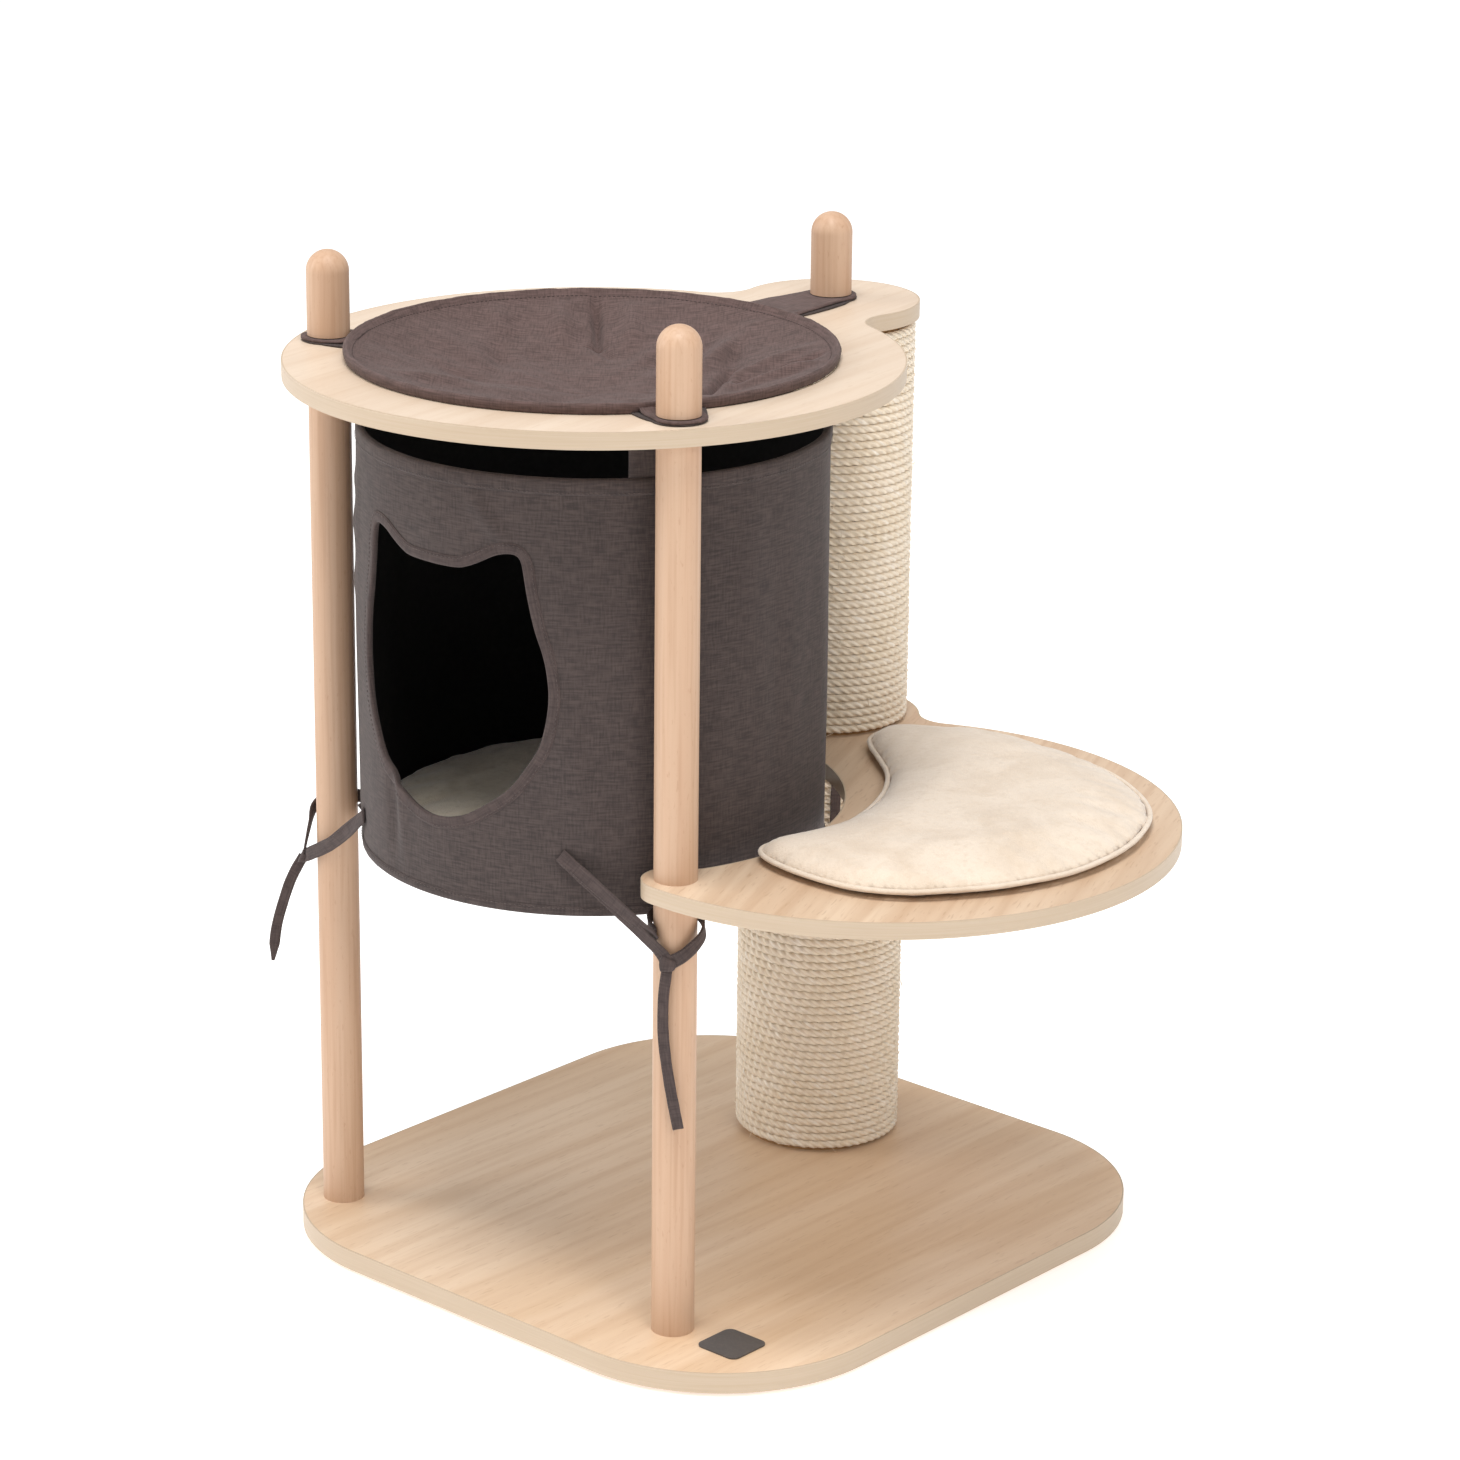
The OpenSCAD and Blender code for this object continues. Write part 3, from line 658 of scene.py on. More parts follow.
def sewRows(name, lines, pitch=3.4 * mm, stitch=2.4 * mm, width=0.7 * mm):
    # lines are (points, closed) pairs; all their stitches become one piece
    points, edges = [], []
    for line, closed in lines:
        first, n = len(points), len(line)
        points += [tuple(p) for p in line]
        edges += [(first + i, first + (i + 1) % n) for i in range(n if closed else n - 1)]
    mesh = bpy.data.meshes.new(name + "_line")
    mesh.from_pydata(points, edges, [])
    piece = grow(name, stitchRow, {"Pitch": pitch, "Stitch Length": stitch, "Thread": width,
                                   "Finish": thread}, newPiece(name + "_line", mesh))
    settle(piece, "frame", "den_fabric")


# ---- rope columns ----

rope = {"diameter": 6 * mm, "lay": 21 * mm, "depth": 0.1, "squeeze": 1.03, "pointsATurn": 216, "hairs": 9000.0}


def windColumn(node, name, seed):
    low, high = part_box(node)
    centre = (low + high) / 2
    reach = (high.x - low.x) / 2
    # Neighbouring turns press into each other, so the rope is drawn a little thicker than its pitch
    radius = rope["diameter"] / 2 * rope["squeeze"]
    coil = reach - radius * (1 + 0.6 * rope["depth"])
    room = high.z - low.z - 2 * radius
    turns = 2 * round(room / rope["diameter"] / 2)
    pitch = room / turns
    half = turns / 2 * math.hypot(2 * math.pi * coil, pitch)
    # A whole number of strands in each half, so that the two halves meet
    lay = half / round(half / rope["lay"])
    for part, start in (("low", 0.0), ("high", room / 2)):
        winding = grow(name + "_" + part, ropeWinding, {
            "Column Radius": coil, "Rope Radius": radius, "Turns": turns / 2, "Height": room / 2,
            "Start Height": start, "Strand Length": lay, "Strand Depth": rope["depth"], "Unevenness": 1.0 * mm,
            "Points A Turn": rope["pointsATurn"], "Seed": seed, "Finish": sisal})
        # The rope's two ends are turned to the back
        winding.data.transform(Matrix.Translation((centre.x, centre.y, low.z + radius)) @ Matrix.Rotation(2.4, 4, "Z"))
        settle(winding, "frame", "sisal", *([node] if part == "low" else []))
    hairs = grow(name + "_hairs", looseFibres, {
        "Radius": reach - 0.5 * mm, "Height": high.z - low.z - 6 * mm, "Density": rope["hairs"],
        "Seed": seed, "Finish": sisal})
    hairs.data.transform(Matrix.Translation((centre.x, centre.y, (low.z + high.z) / 2)))
    settle(hairs, "frame", "sisal")


windColumn("lower_column_rope", "lower_rope_winding", 4)
windColumn("upper_column_rope", "upper_rope_winding", 9)
print("rope wound")


# ---- den ----

denLow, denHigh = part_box("den_shell")
den = {
    "centre": ((denLow.x + denHigh.x) / 2, denLow.y + (denHigh.x - denLow.x) / 2),
    "radius": (denHigh.x - denLow.x) / 2,
    "bottom": denLow.z, "top": denHigh.z,
    "doorAngle": -88,
    "hem": 11 * mm,
    "mesh": 5 * mm,
    # Folds in the cloth: arc from the door's middle, height, half length, half width, lean in degrees, depth
    "folds": [(50, 268, 26, 5, 40, 2.2), (66, 250, 20, 5, 62, -1.6), (38, 285, 20, 6, 20, 1.2),
              (-47, 50, 42, 6, 4, -2.6), (-38, 62, 40, 5, 8, 1.8), (-2, 262, 22, 7, -50, 1.4),
              (232, 235, 60, 14, 2, 2.0), (262, 140, 90, 12, 0, -1.8),
              (205, 90, 60, 12, -6, 1.6), (150, 200, 120, 18, -3, 1.8), (118, 60, 50, 10, 12, 1.4),
              (-140, 150, 110, 14, 2, 2.0), (-146, 232, 12, 9, 0, 2.0), (-147, 190, 10, 8, 0, 1.6),
              (-148, 262, 9, 8, 0, 1.6), (-118, 236, 42, 7, -8, 2.0), (-205, 150, 120, 16, -2, -2.0),
              (100, 120, 80, 12, 10, 1.4), (330, 150, 130, 18, 1, 2.0), (430, 150, 130, 20, -1, -1.8),
              (-320, 160, 120, 16, 3, 2.2)],
}
# Half of the cat-head opening: arc from its middle, height above the floor, in millimetres
doorHalf = [(0, 374), (22, 378), (39, 387), (58, 401), (71, 417), (82, 435), (87, 453), (89, 470), (88, 485),
            (85, 500), (79, 518), (74, 540), (70.5, 560), (66.5, 567.5), (59, 568.5), (50, 566.5), (41, 562),
            (30, 557), (18, 554.6)]


def ripple(arc, z):
    # How far the cloth stands off a true cylinder
    up = z - den["bottom"]
    calm = min(1, up / 0.03) * min(1, (den["top"] - z) / 0.02 + 0.25)
    angle = arc / den["radius"]
    out = 0.5 * mm * math.sin(7 * angle + 1.3) + 0.35 * mm * math.sin(13 * angle + 0.4)
    out += 0.9 * mm * noise.noise(Vector((math.cos(angle) * 3.1, math.sin(angle) * 3.1, up * 7)))
    for place, height, reach, wide, lean, depth in den["folds"]:
        dx, dy = arc - place * mm, up - height * mm
        a = math.radians(lean)
        across = (dx * math.cos(a) + dy * math.sin(a)) / (wide * mm)
        lengthwise = (-dx * math.sin(a) + dy * math.cos(a)) / (reach * mm)
        out += depth * mm * math.exp(-across * across - lengthwise ** 2)
    return out * max(calm, 0)


def denPoint(arc, z, out=0.0):
    angle = math.radians(den["doorAngle"]) + arc / den["radius"]
    reach = den["radius"] - 0.8 * mm + out + ripple(arc, z)
    return Vector((den["centre"][0] + reach * math.cos(angle), den["centre"][1] + reach * math.sin(angle), z))


doorLine = [(x * mm, z * mm) for x, z in doorHalf]
doorLine = doorLine + [(-x, z) for x, z in reversed(doorLine[1:])]
doorLine = [(p.x, p.y) for p in smoothPath([(x, z, 0) for x, z in doorLine], 3 * mm, closed=True)]


def offsetDoor(amount):
    # Door outline moved into the cloth by amount
    found, n = [], len(doorLine)
    for i in range(n):
        (ax, ay), (bx, by) = doorLine[i - 2], doorLine[(i + 2) % n]
        dx, dy = bx - ax, by - ay
        size = math.hypot(dx, dy)
        found.append((doorLine[i][0] + dy / size * amount, doorLine[i][1] - dx / size * amount))
    return found


def denWall(name, low, high, out, hole, finish, thickness):
    half, tall = math.pi * den["radius"], high - low
    count, rise = 200, max(2, round((high - low) / den["mesh"]))
    border = [(-half + 2 * half * i / count, low) for i in range(count + 1)]
    border += [(half, low + tall * i / rise) for i in range(1, rise + 1)]
    border += [(half - 2 * half * i / count, high) for i in range(1, count + 1)]
    border += [(-half, high - tall * i / rise) for i in range(1, rise)]
    verts, faces = cutFlat(border, hole, den["mesh"])
    points = [denPoint(v[0], v[1], out) for v in verts]
    uvs = [tuple((verts[i][0], verts[i][1]) for i in face) for face in faces]
    wall = buildMesh(name, points, faces, finish, uvs, merge=0.02 * mm)
    return thicken(wall, thickness)


def ringSweep(name, profile, base, pucker):
    # A closed profile of (out in mm, z above base) points carried round the den
    rings, steps = [], 260
    for i in range(steps):
        arc = 2 * math.pi * den["radius"] * i / steps
        lift = pucker * noise.noise(Vector((arc * 60, 0.3, 0.7)))
        rings.append([denPoint(arc, base + z, out * mm + (lift if out > 0 else 0)) for out, z in profile])
    settle(loft(name, rings, linen, closedPath=True), "frame", "den_fabric")


def buildDen():
    bottom, top = den["bottom"], den["top"]
    shell = denWall("den_outer_cloth", bottom + 1 * mm, top - 4 * mm, 0.0, doorLine, linen, 1.2 * mm)
    settle(shell, "frame", "den_fabric", "den_shell")

    inner = denWall("den_inner_lining", bottom + 6.5 * mm, top - 9 * mm, -2.6 * mm, offsetDoor(2.5 * mm), lining,
                    0.7 * mm)
    settle(inner, "frame", "lining_fabric", "den_lining")

    hem = den["hem"]
    profile = [(0.2, -hem), (0.75, -hem + 0.4 * mm), (1.0, -hem * 0.6), (1.0, -2.2 * mm), (0.5, -0.6 * mm),
               (-0.6, 0.2 * mm), (-2.2, 0.3 * mm), (-4.2, -0.5 * mm), (-5.4, -2.4 * mm), (-5.6, -4.6 * mm),
               (-5.2, -6.6 * mm), (-4.4, -8.6 * mm), (-3.6, -hem), (-1.5, -hem)]
    ringSweep("den_top_hem", profile, top, 0.5 * mm)
    foot = [(0.3, 7.0 * mm), (0.8, 6.4 * mm), (0.9, 3.5 * mm), (0.7, 1.2 * mm), (-0.4, 0.1 * mm), (-2.6, -0.1 * mm),
            (-2.8, 1.0 * mm), (-1.5, 3.0 * mm), (-1.2, 7.0 * mm)]
    ringSweep("den_bottom_hem", foot, bottom, 0.4 * mm)

    # Underside: one round panel, drawn in at the seam
    rings = []
    for share in (0.02, 0.25, 0.5, 0.7, 0.85, 0.94, 0.985):
        level = bottom + 0.9 * mm - 0.6 * mm * (1 - share ** 2)
        rings.append(circle(den["centre"], share * den["radius"], 120,
                            lambda j: level + 0.25 * mm * noise.noise(Vector((j * 0.4, share * 9, 0)))))
    settle(thicken(loft("den_base_cloth", rings, linen), 0.7 * mm), "frame", "den_fabric")

    disc = [circle(den["centre"], share * (den["radius"] - 3.6 * mm), 120, bottom + height * mm)
            for share, height in ((0.02, 7.8), (0.6, 7.8), (0.97, 7.6), (1.0, 6.8), (0.97, 6.6), (0.02, 6.6))]
    settle(loft("den_floor_lining", disc, lining), "frame", "lining_fabric")


def doorHem():
    # Folded binding round the opening: cloth wraps the edge and is top-stitched
    profile = [(7.6, 0.05), (7.3, 0.4), (5.5, 0.62), (2.4, 0.75), (0.4, 0.7), (-0.5, 0.2), (-0.8, -0.7), (-0.6, -2.0),
               (0.2, -3.3), (2.0, -4.0), (5.5, -4.1), (7.4, -3.7), (7.6, -2.4), (6.0, -1.2)]
    offsets = {b: offsetDoor(b * mm) for b, _ in profile}
    rings = []
    for i in range(len(doorLine)):
        lift = 0.35 * mm * noise.noise(Vector((i * 0.17, 4.1, 0.2)))
        rings.append([denPoint(*offsets[b][i], out=h * mm + (lift if h > 0.3 else 0)) for b, h in profile])
    hem = loft("den_door_hem", rings, tape, closedPath=True)
    settle(hem, "frame", "den_fabric", "den_door_binding")
    rows = [[denPoint(x, z, 0.75 * mm) for x, z in offsetDoor(5.8 * mm)]]
    for z, out in ((den["top"] - den["hem"] + 1.6 * mm, 1.1 * mm), (den["bottom"] + 5.6 * mm, 1.05 * mm)):
        rows.append([denPoint(2 * math.pi * den["radius"] * i / 400, z, out) for i in range(400)])
    sewRows("den_stitches", [(row, True) for row in rows], stitch=2.3 * mm, width=0.55 * mm)


buildDen()
doorHem()
print("den sewn")


# ---- hammock ----

hoopLow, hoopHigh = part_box("hammock_hoop")
hammock = {
    "centre": ((hoopLow.x + hoopHigh.x) / 2 - 1.5 * mm, (hoopLow.y + hoopHigh.y) / 2 - 1.0 * mm),
    "radius": (hoopHigh.x - hoopLow.x) / 2 - 3.5 * mm, "wire": 1.5 * mm, "lift": 1.6 * mm,
    "height": (hoopLow.z + hoopHigh.z) / 2,
    "tube": 2.3 * mm, "sag": 33 * mm, "band": 6 * mm, "steps": 320, "weave": math.radians(41.5),
    "highSide": math.radians(132),
    # Soft creases that run in from the rim: angle and half width in degrees, depth in mm, place along the radius
    "creases": [(-20, 4, -4.0, 0.62), (-9, 4, 3.0, 0.6), (24, 4, -2.5, 0.6), (-38, 5, 3.0, 0.55),
                (-55, 6, -2.6, 0.6), (96, 5, 2.0, 0.5), (158, 6, -2.0, 0.5), (184, 6, 2.4, 0.5),
                (208, 5, -2.5, 0.5), (236, 6, 2.2, 0.5), (262, 6, -2.4, 0.45), (284, 5, 2.0, 0.5)],
    # Sharp folds, in millimetres from the middle: start, end, half width, depth
    "folds": [((90, 40), (114, 108), 4.0, -13.0), ((104, 34), (128, 88), 6, 7.5), ((72, 44), (92, 120), 8, 6.0),
              ((96, 6), (58, 80), 5.0, -11.0), ((58, 80), (14, 136), 7, -4.5),
              ((108, 10), (80, 58), 6, 5.5), ((46, 40), (14, 146), 9, 6.0), ((32, 26), (-4, 130), 8, -5.0),
              ((-62, 72), (-112, 122), 3.2, -9.5), ((-62, 71), (-60, 69), 6, -9.0), ((-60, 70), (-38, 60), 4, -3.0),
              ((-40, 84), (-84, 128), 8, 4.6), ((-78, 54), (-120, 92), 7, 4.2), ((-64, -30), (-120, 40), 9, -4.5),
              ((-44, -66), (-70, -118), 9, 4.0), ((30, -50), (40, -130), 8, -4.5), ((110, -30), (70, -10), 6, 4.4),
              ((0, 60), (-20, 140), 8, -3.5), ((-90, 10), (-150, 60), 8, 4.0)],
}


def foldAt(x, y, start, end, wide):
    # How much of a straight fold is felt at a point
    runX, runY = end[0] - start[0], end[1] - start[1]
    along = ((x - start[0]) * runX + (y - start[1]) * runY) / (runX * runX + runY * runY)
    held = min(max(along, 0), 1)
    gap = math.hypot(x - start[0] - held * runX, y - start[1] - held * runY)
    return math.exp(-(gap / wide) ** 2) * (0.35 + 0.65 * math.sin(math.pi * held))


def hammockPoint(reach, angle, up):
    # A point at a distance from the hammock's middle, up from its hoop
    cx, cy = hammock["centre"]
    return Vector((cx + reach * math.cos(angle), cy + reach * math.sin(angle), hammock["height"] + up))


def rimLift(angle):
    # The rim stands a little higher at the back
    return hammock["lift"] * (0.5 + 0.5 * math.cos(angle - hammock["highSide"]))


def hammockHeight(share, angle):
    # Height of the cloth below the hoop; share runs from 0 at the middle to 1 at the hoop
    bowl = 0.5 * (1 - share) + 0.5 * (1 - share ** 2.4)
    drop = -hammock["sag"] * bowl
    for place, wide, depth, where in hammock["creases"]:
        turn = (math.degrees(angle) - place - 16 * (1 - share) + 180) % 360 - 180
        spread = turn / (wide * (0.8 + 0.9 * (1 - share)))
        swell = math.exp(-((share - where) / 0.27) ** 2) * min(1, (1 - share) / 0.06)
        drop += depth * mm * math.exp(-spread * spread) * swell
    x, y = (hammock["radius"] / mm * share * f(angle) for f in (math.cos, math.sin))
    calm = min(1, (1 - share) / 0.1)
    for start, end, wide, depth in hammock["folds"]:
        drop += depth * mm * foldAt(x, y, start, end, wide) * calm
    drop += 1.8 * mm * noise.noise(Vector((x * 0.03, y * 0.03, 0.4))) * calm
    drop += 0.5 * mm * noise.noise(Vector((x * 0.09, y * 0.09, 2.4))) * calm
    return drop + rimLift(angle) * share ** 3


def buildHammock():
    steps, radius, thickness = hammock["steps"], hammock["radius"], hammock["wire"]
    angles = [2 * math.pi * i / steps for i in range(steps)]
    shares = [0.008] + [0.0125 * k for k in range(1, 80)]
    inner = 1 - 1.6 * mm / radius
    shares = [s for s in shares if s < inner - 0.01] + [inner]
    points = [hammockPoint(radius * share, a, hammockHeight(share, a) - 1.2 * mm) for share in shares for a in angles]
    faces = [(i + j, i + steps + j, i + steps + (j + 1) % steps, i + (j + 1) % steps)
             for i in range(0, steps * (len(shares) - 1), steps) for j in range(steps)]
    faces.append(tuple(range(steps)))
    # The weave lies square to the front post
    across, along = math.cos(hammock["weave"]), math.sin(hammock["weave"])
    uvs = [tuple((points[k].x * across + points[k].y * along, points[k].y * across - points[k].x * along)
                 for k in face) for face in faces]
    bowl = buildMesh("hammock_cloth", points, faces, linenTop, uvs)
    if bowl.data.polygons[0].normal.z < 0:
        bowl.data.flip_normals()
    bowl = thicken(bowl, 1.1 * mm)
    settle(bowl, "frame", "den_fabric", "hammock")

    # Rim: the cloth's edge is wrapped round the wire hoop and stitched down just inside
    tube, band = hammock["tube"], hammock["band"]
    share = 1 - band / radius
    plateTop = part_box("top_plate")[1].z
    rings, wire = [], []
    for a in angles:
        puff = 0.4 * mm * noise.noise(Vector((math.cos(a) * 14, math.sin(a) * 14, 0.5)))
        puff += 0.25 * mm * noise.noise(Vector((math.cos(a) * 45, math.sin(a) * 45, 2.5)))
        top = rimLift(a)
        gap = hammock["height"] + top - plateTop - 0.2 * mm
        ring = []
        for t in range(11):
            b = math.radians(-150 + 270 * t / 10)
            # The underside reaches down to the plate
            drop = tube + puff if b > 0 else max(tube + puff, gap)
            ring.append(((tube + puff) * math.cos(b), top + drop * math.sin(b)))
        under = hammockHeight(share, a)
        ring += [(-0.75 * band, under - 0.8 * mm), (-band, under - 1.5 * mm), (-band - 0.3 * mm, under - 2.6 * mm),
                 (-0.75 * band, under - 2.4 * mm)]
        rings.append([hammockPoint(radius + out, a, up) for out, up in ring])
        wire.append([hammockPoint(radius + thickness * math.cos(b), a, top + thickness * math.sin(b))
                     for b in [2 * math.pi * k / 8 for k in range(8)]])
    rim = loft("hammock_rim", rings, linenTop, closedPath=True)
    settle(rim, "frame", "den_fabric")
    settle(loft("hammock_wire", wire, zinc, closedPath=True), "frame", "zinc_steel", "hammock_hoop")
    share = 1 - (band - 1.4 * mm) / radius
    line = [hammockPoint(radius * share, a, hammockHeight(share, a) - 0.7 * mm) for a in angles]
    sewRows("hammock_stitches", [(line, True)], width=0.5 * mm)


buildHammock()
print("hammock sewn")


# ---- straps that the finials clamp ----

strap = {"loopRadius": 19 * mm, "hole": 4.6 * mm, "hangerWidth": 50 * mm, "loopWidth": (40 * mm, 40 * mm, 56 * mm)}
uprights = {}
for side in ("left", "front", "rear"):
    low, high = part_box(side + "_finial")
    uprights[side] = Vector(((low.x + high.x) / 2, (low.y + high.y) / 2, low.z))


def strapFlat(side, start, width, low, thickness, name, edge):
    # Flat cloth from the ring out to a stud, with a round end and a stitched eyelet
    end = uprights[side].to_2d()
    middle = Vector(den["centre"])
    out = (end - middle).normalized()
    across = Vector((-out.y, out.x))
    reach = (end - middle).length
    rows = [(start + (reach - start) * t, width / 2 + (strap["loopRadius"] - width / 2) * t ** 0.8)
            for t in [k / 8 for k in range(9)]]
    border = [(r, -w) for r, w in rows]
    border += [(reach + x, y) for x, y in (polar(a, strap["loopRadius"]) for a in range(-80, 90, 10))]
    border += [(r, w) for r, w in reversed(rows)]
    border += [(start, width / 2 * (1 - 2 * k / 8)) for k in range(1, 8)]
    wavy = random.Random(len(name) + 7)
    shift = wavy.random() * 10
    shaped = []
    for r, w in border:
        swell = 1 + edge * noise.noise(Vector((r * 60, w * 60, shift)))
        shaped.append((reach + (r - reach) * swell if r > reach else r, w * swell))
    hole = [(reach + x, y) for x, y in (polar(a, strap["hole"]) for a in range(0, 360, 20))]
    verts, faces = cutFlat(shaped, hole, 4 * mm)
    bottoms, tops = [], []
    for v in verts:
        p = middle + out * v[0] + across * v[1]
        fromStud = math.hypot(v[0] - reach, v[1])
        loose = min(max((fromStud - 13 * mm) / (8 * mm), 0), 1)
        wave = loose * 0.7 * mm * abs(noise.noise(Vector((p.x * 90, p.y * 90, shift))))
        bottoms.append(Vector((p.x, p.y, low + wave)))
        tops.append(Vector((p.x, p.y, low + thickness + wave)))
    return verts, faces, bottoms, tops


def openEdges(faces):
    # Edges that only one face uses
    used = dict.fromkeys((a, b) for f in faces for a, b in zip(f, f[1:] + f[:1]))
    return [(a, b) for a, b in used if (b, a) not in used]


def closeSheet(name, verts, faces, bottoms, tops, finish):
    # Both faces of a sheet, and the wall along its open edges
    n, flat = len(bottoms), [(v[0], v[1]) for v in verts]
    backs = [tuple(reversed(f)) for f in faces]
    allFaces = [tuple(f) for f in faces] + [tuple(n + i for i in f) for f in backs]
    uvs = [tuple(flat[i] for i in f) for f in list(faces) + backs]
    for a, b in openEdges(faces):
        allFaces.append((b, a, n + a, n + b))
        uvs.append((flat[b], flat[a], (flat[a][0], flat[a][1] + mm), (flat[b][0], flat[b][1] + mm)))
    return buildMesh(name, bottoms + tops, allFaces, finish, uvs)


def buildLoop(side, width):
    base = hammock["height"] - 4.0 * mm
    start = hammock["radius"] - 3 * mm
    name = "hammock_loop_" + side
    verts, faces, bottoms, tops = strapFlat(side, start, width, base, 1.5 * mm, name, 0.08)
    middle = Vector(den["centre"])
    # The root rises into the rim
    for group in (bottoms, tops):
        for p in group:
            r = (p.to_2d() - middle).length
            p.z += 2.0 * mm * max(0, 1 - (r - hammock["radius"]) / (9 * mm)) if r > hammock["radius"] else 2.0 * mm
    settle(closeSheet(name, verts, faces, bottoms, tops, linenTop), "frame", "den_fabric")


def buildHanger(side):
    # Rises from the den's rim, through the ring, then lies out to the stud
    node = "den_hanger_" + side
    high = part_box(node)[1]
    middle = Vector(den["centre"])
    run = uprights[side].to_2d() - middle
    angle, reach = math.atan2(run.y, run.x), run.length
    thick = 1.0 * mm
    wall = den["radius"] - 1.6 * mm
    flatTop = high.z - thick
    half = strap["hangerWidth"] / 2
    top = den["top"]
    route = [(wall - 1.6 * mm, top - 9 * mm), (wall - 0.4 * mm, top - 1 * mm), (wall, top + 4 * mm)]
    route += [(wall, top + 4 * mm + (flatTop - top - 7 * mm) * k / 6) for k in range(1, 7)]
    route += [(wall + 0.8 * mm, flatTop - 0.9 * mm), (wall + 2.4 * mm, flatTop), (wall + 5 * mm, flatTop)]
    start = wall + 5 * mm
    end = strap["loopRadius"]
    rows = [(r, z, half) for r, z in route]
    rows += [(start + (reach - start) * t, flatTop, half + (end - half) * t) for t in [k / 8 for k in range(1, 9)]]
    rows += [(reach + x, flatTop, y) for y, x in (polar(a, end) for a in range(15, 90, 15))]
    rows.append((reach + end * 0.995, flatTop, end * 0.12))
    columns = 12
    bottoms, tops, flat = [], [], []
    along = lengthsOf([(r, z, 0) for r, z, _ in rows])
    for i, (r, z, w) in enumerate(rows):
        bend = min(1, max(0, (reach - r) / (reach - wall)))
        for j in range(columns + 1):
            y = w * (2 * j / columns - 1)
            sweep = y / wall
            curved = Vector((r * math.cos(sweep), r * math.sin(sweep)))
            straight = Vector((r, y))
            p = curved.lerp(straight, 1 - bend ** 0.5)
            before, after = rows[max(i - 1, 0)], rows[min(i + 1, len(rows) - 1)]
            slope = Vector((after[0] - before[0], after[1] - before[1]))
            slope = slope.normalized() if slope.length > 1e-9 else Vector((1, 0))
            face = Vector((-slope.y, slope.x))
            lie = 0.5 * mm * noise.noise(Vector((y * 50, along[i] * 30, 3.3))) if z < flatTop - 2 * mm else 0
            spot = Vector((p.x, p.y, z))
            push = Vector((face.x, 0, face.y))
            for group, offset in ((bottoms, lie), (tops, thick + lie)):
                q = spot + push * offset
                group.append(Vector((middle.x + q.x * math.cos(angle) - q.y * math.sin(angle),
                                     middle.y + q.x * math.sin(angle) + q.y * math.cos(angle), q.z)))
            flat.append((y, along[i]))
    faces = []
    for i in range(len(rows) - 1):
        for j in range(columns):
            a = i * (columns + 1) + j
            faces.append((a, a + 1, a + columns + 2, a + columns + 1))
    piece = closeSheet("den_hanger_strap_" + side, flat, faces, bottoms, tops, linen)
    settle(piece, "frame", "den_fabric", node)


for side, width in zip(("left", "front", "rear"), strap["loopWidth"]):
    buildLoop(side, width)
    buildHanger(side)
print("straps cut")


# ---- ties: folded and top-stitched tape, knotted round the uprights ----

ties = {"width": 10 * mm, "rolled": 7.8 * mm, "thickness": 1.5 * mm}


def tapeStrip(name, controls, faces, width=ties["width"], pointed=False):
    # controls are the route; faces are the directions that the tape's flat side looks at those points
    line = smoothPath(controls, 2.5 * mm)
    marks = lengthsOf(controls)
    lengths = lengthsOf(line)
    scale = marks[-1] / lengths[-1]
    rings = []
    for i, p in enumerate(line):
        goal = lengths[i] * scale
        k = 0
        while k < len(marks) - 2 and marks[k + 1] < goal:
            k += 1
        share = min(max((goal - marks[k]) / max(marks[k + 1] - marks[k], 1e-9), 0), 1)
        share = share * share * (3 - 2 * share)
        normal = Vector(faces[k]).normalized().lerp(Vector(faces[k + 1]).normalized(), share)
        tangent = (line[min(i + 1, len(line) - 1)] - line[max(i - 1, 0)]).normalized()
        normal = (normal - tangent * normal.dot(tangent)).normalized()
        side = tangent.cross(normal)
        w = width / 2 * (1 + 0.05 * noise.noise(p * 120))
        if pointed:
            w *= min(1, (lengths[-1] - lengths[i]) / (14 * mm) * 0.75 + 0.3)
        h = ties["thickness"] / 2
        curl = 0.5 * mm * noise.noise(p * 45)
        shape = [(-1, 0), (-0.93, 0.85), (-0.62, 1), (0, 0.8), (0.62, 1), (0.93, 0.85), (1, 0), (0.93, -0.85),
                 (0.62, -1), (0, -0.9), (-0.62, -1), (-0.93, -0.85)]
        rings.append([p + side * (x * w) + normal * (y * h + curl * x * x) for x, y in shape])
    piece = loft(name, rings, tape)
    seam = [(a[4] + a[5]) / 2 + (a[4] - a[8]).normalized() * 0.1 * mm for a in rings]
    return piece, lengths[-1], seam


def aroundPost(centre, radius, turns, z):
    # Points round an upright: turns is a list of (angle in degrees, extra radius, z offset)
    return [Vector((*polar(a, radius + extra * mm), z + up * mm)) + Vector((*centre[:2], 0)) for a, extra, up in turns]


def outFrom(points, centre):
    return [Vector((p[0] - centre[0], p[1] - centre[1], 0)).normalized() for p in points]


def knotAt(name, place, out, down):
    # A flat wrap of tape drawn tight over the crossing
    out, down = Vector(out).normalized(), Vector(down).normalized()
    side = down.cross(out).normalized()
    rings = []
    for k in range(9):
        t = -1 + 2 * k / 8
        bulge = 1 - 0.22 * t * t
        ring = []
        for j in range(16):
            a = 2 * math.pi * j / 16
            ring.append(place + side * (6.0 * mm * bulge * math.cos(a))
                        + out * (3.3 * mm * bulge * math.sin(a) * (1 + 0.2 * math.cos(2 * a)))
                        + down * (4.6 * mm * t + 1.0 * mm * math.cos(a) * t))
        rings.append(ring)
    return loft(name, rings, tape)


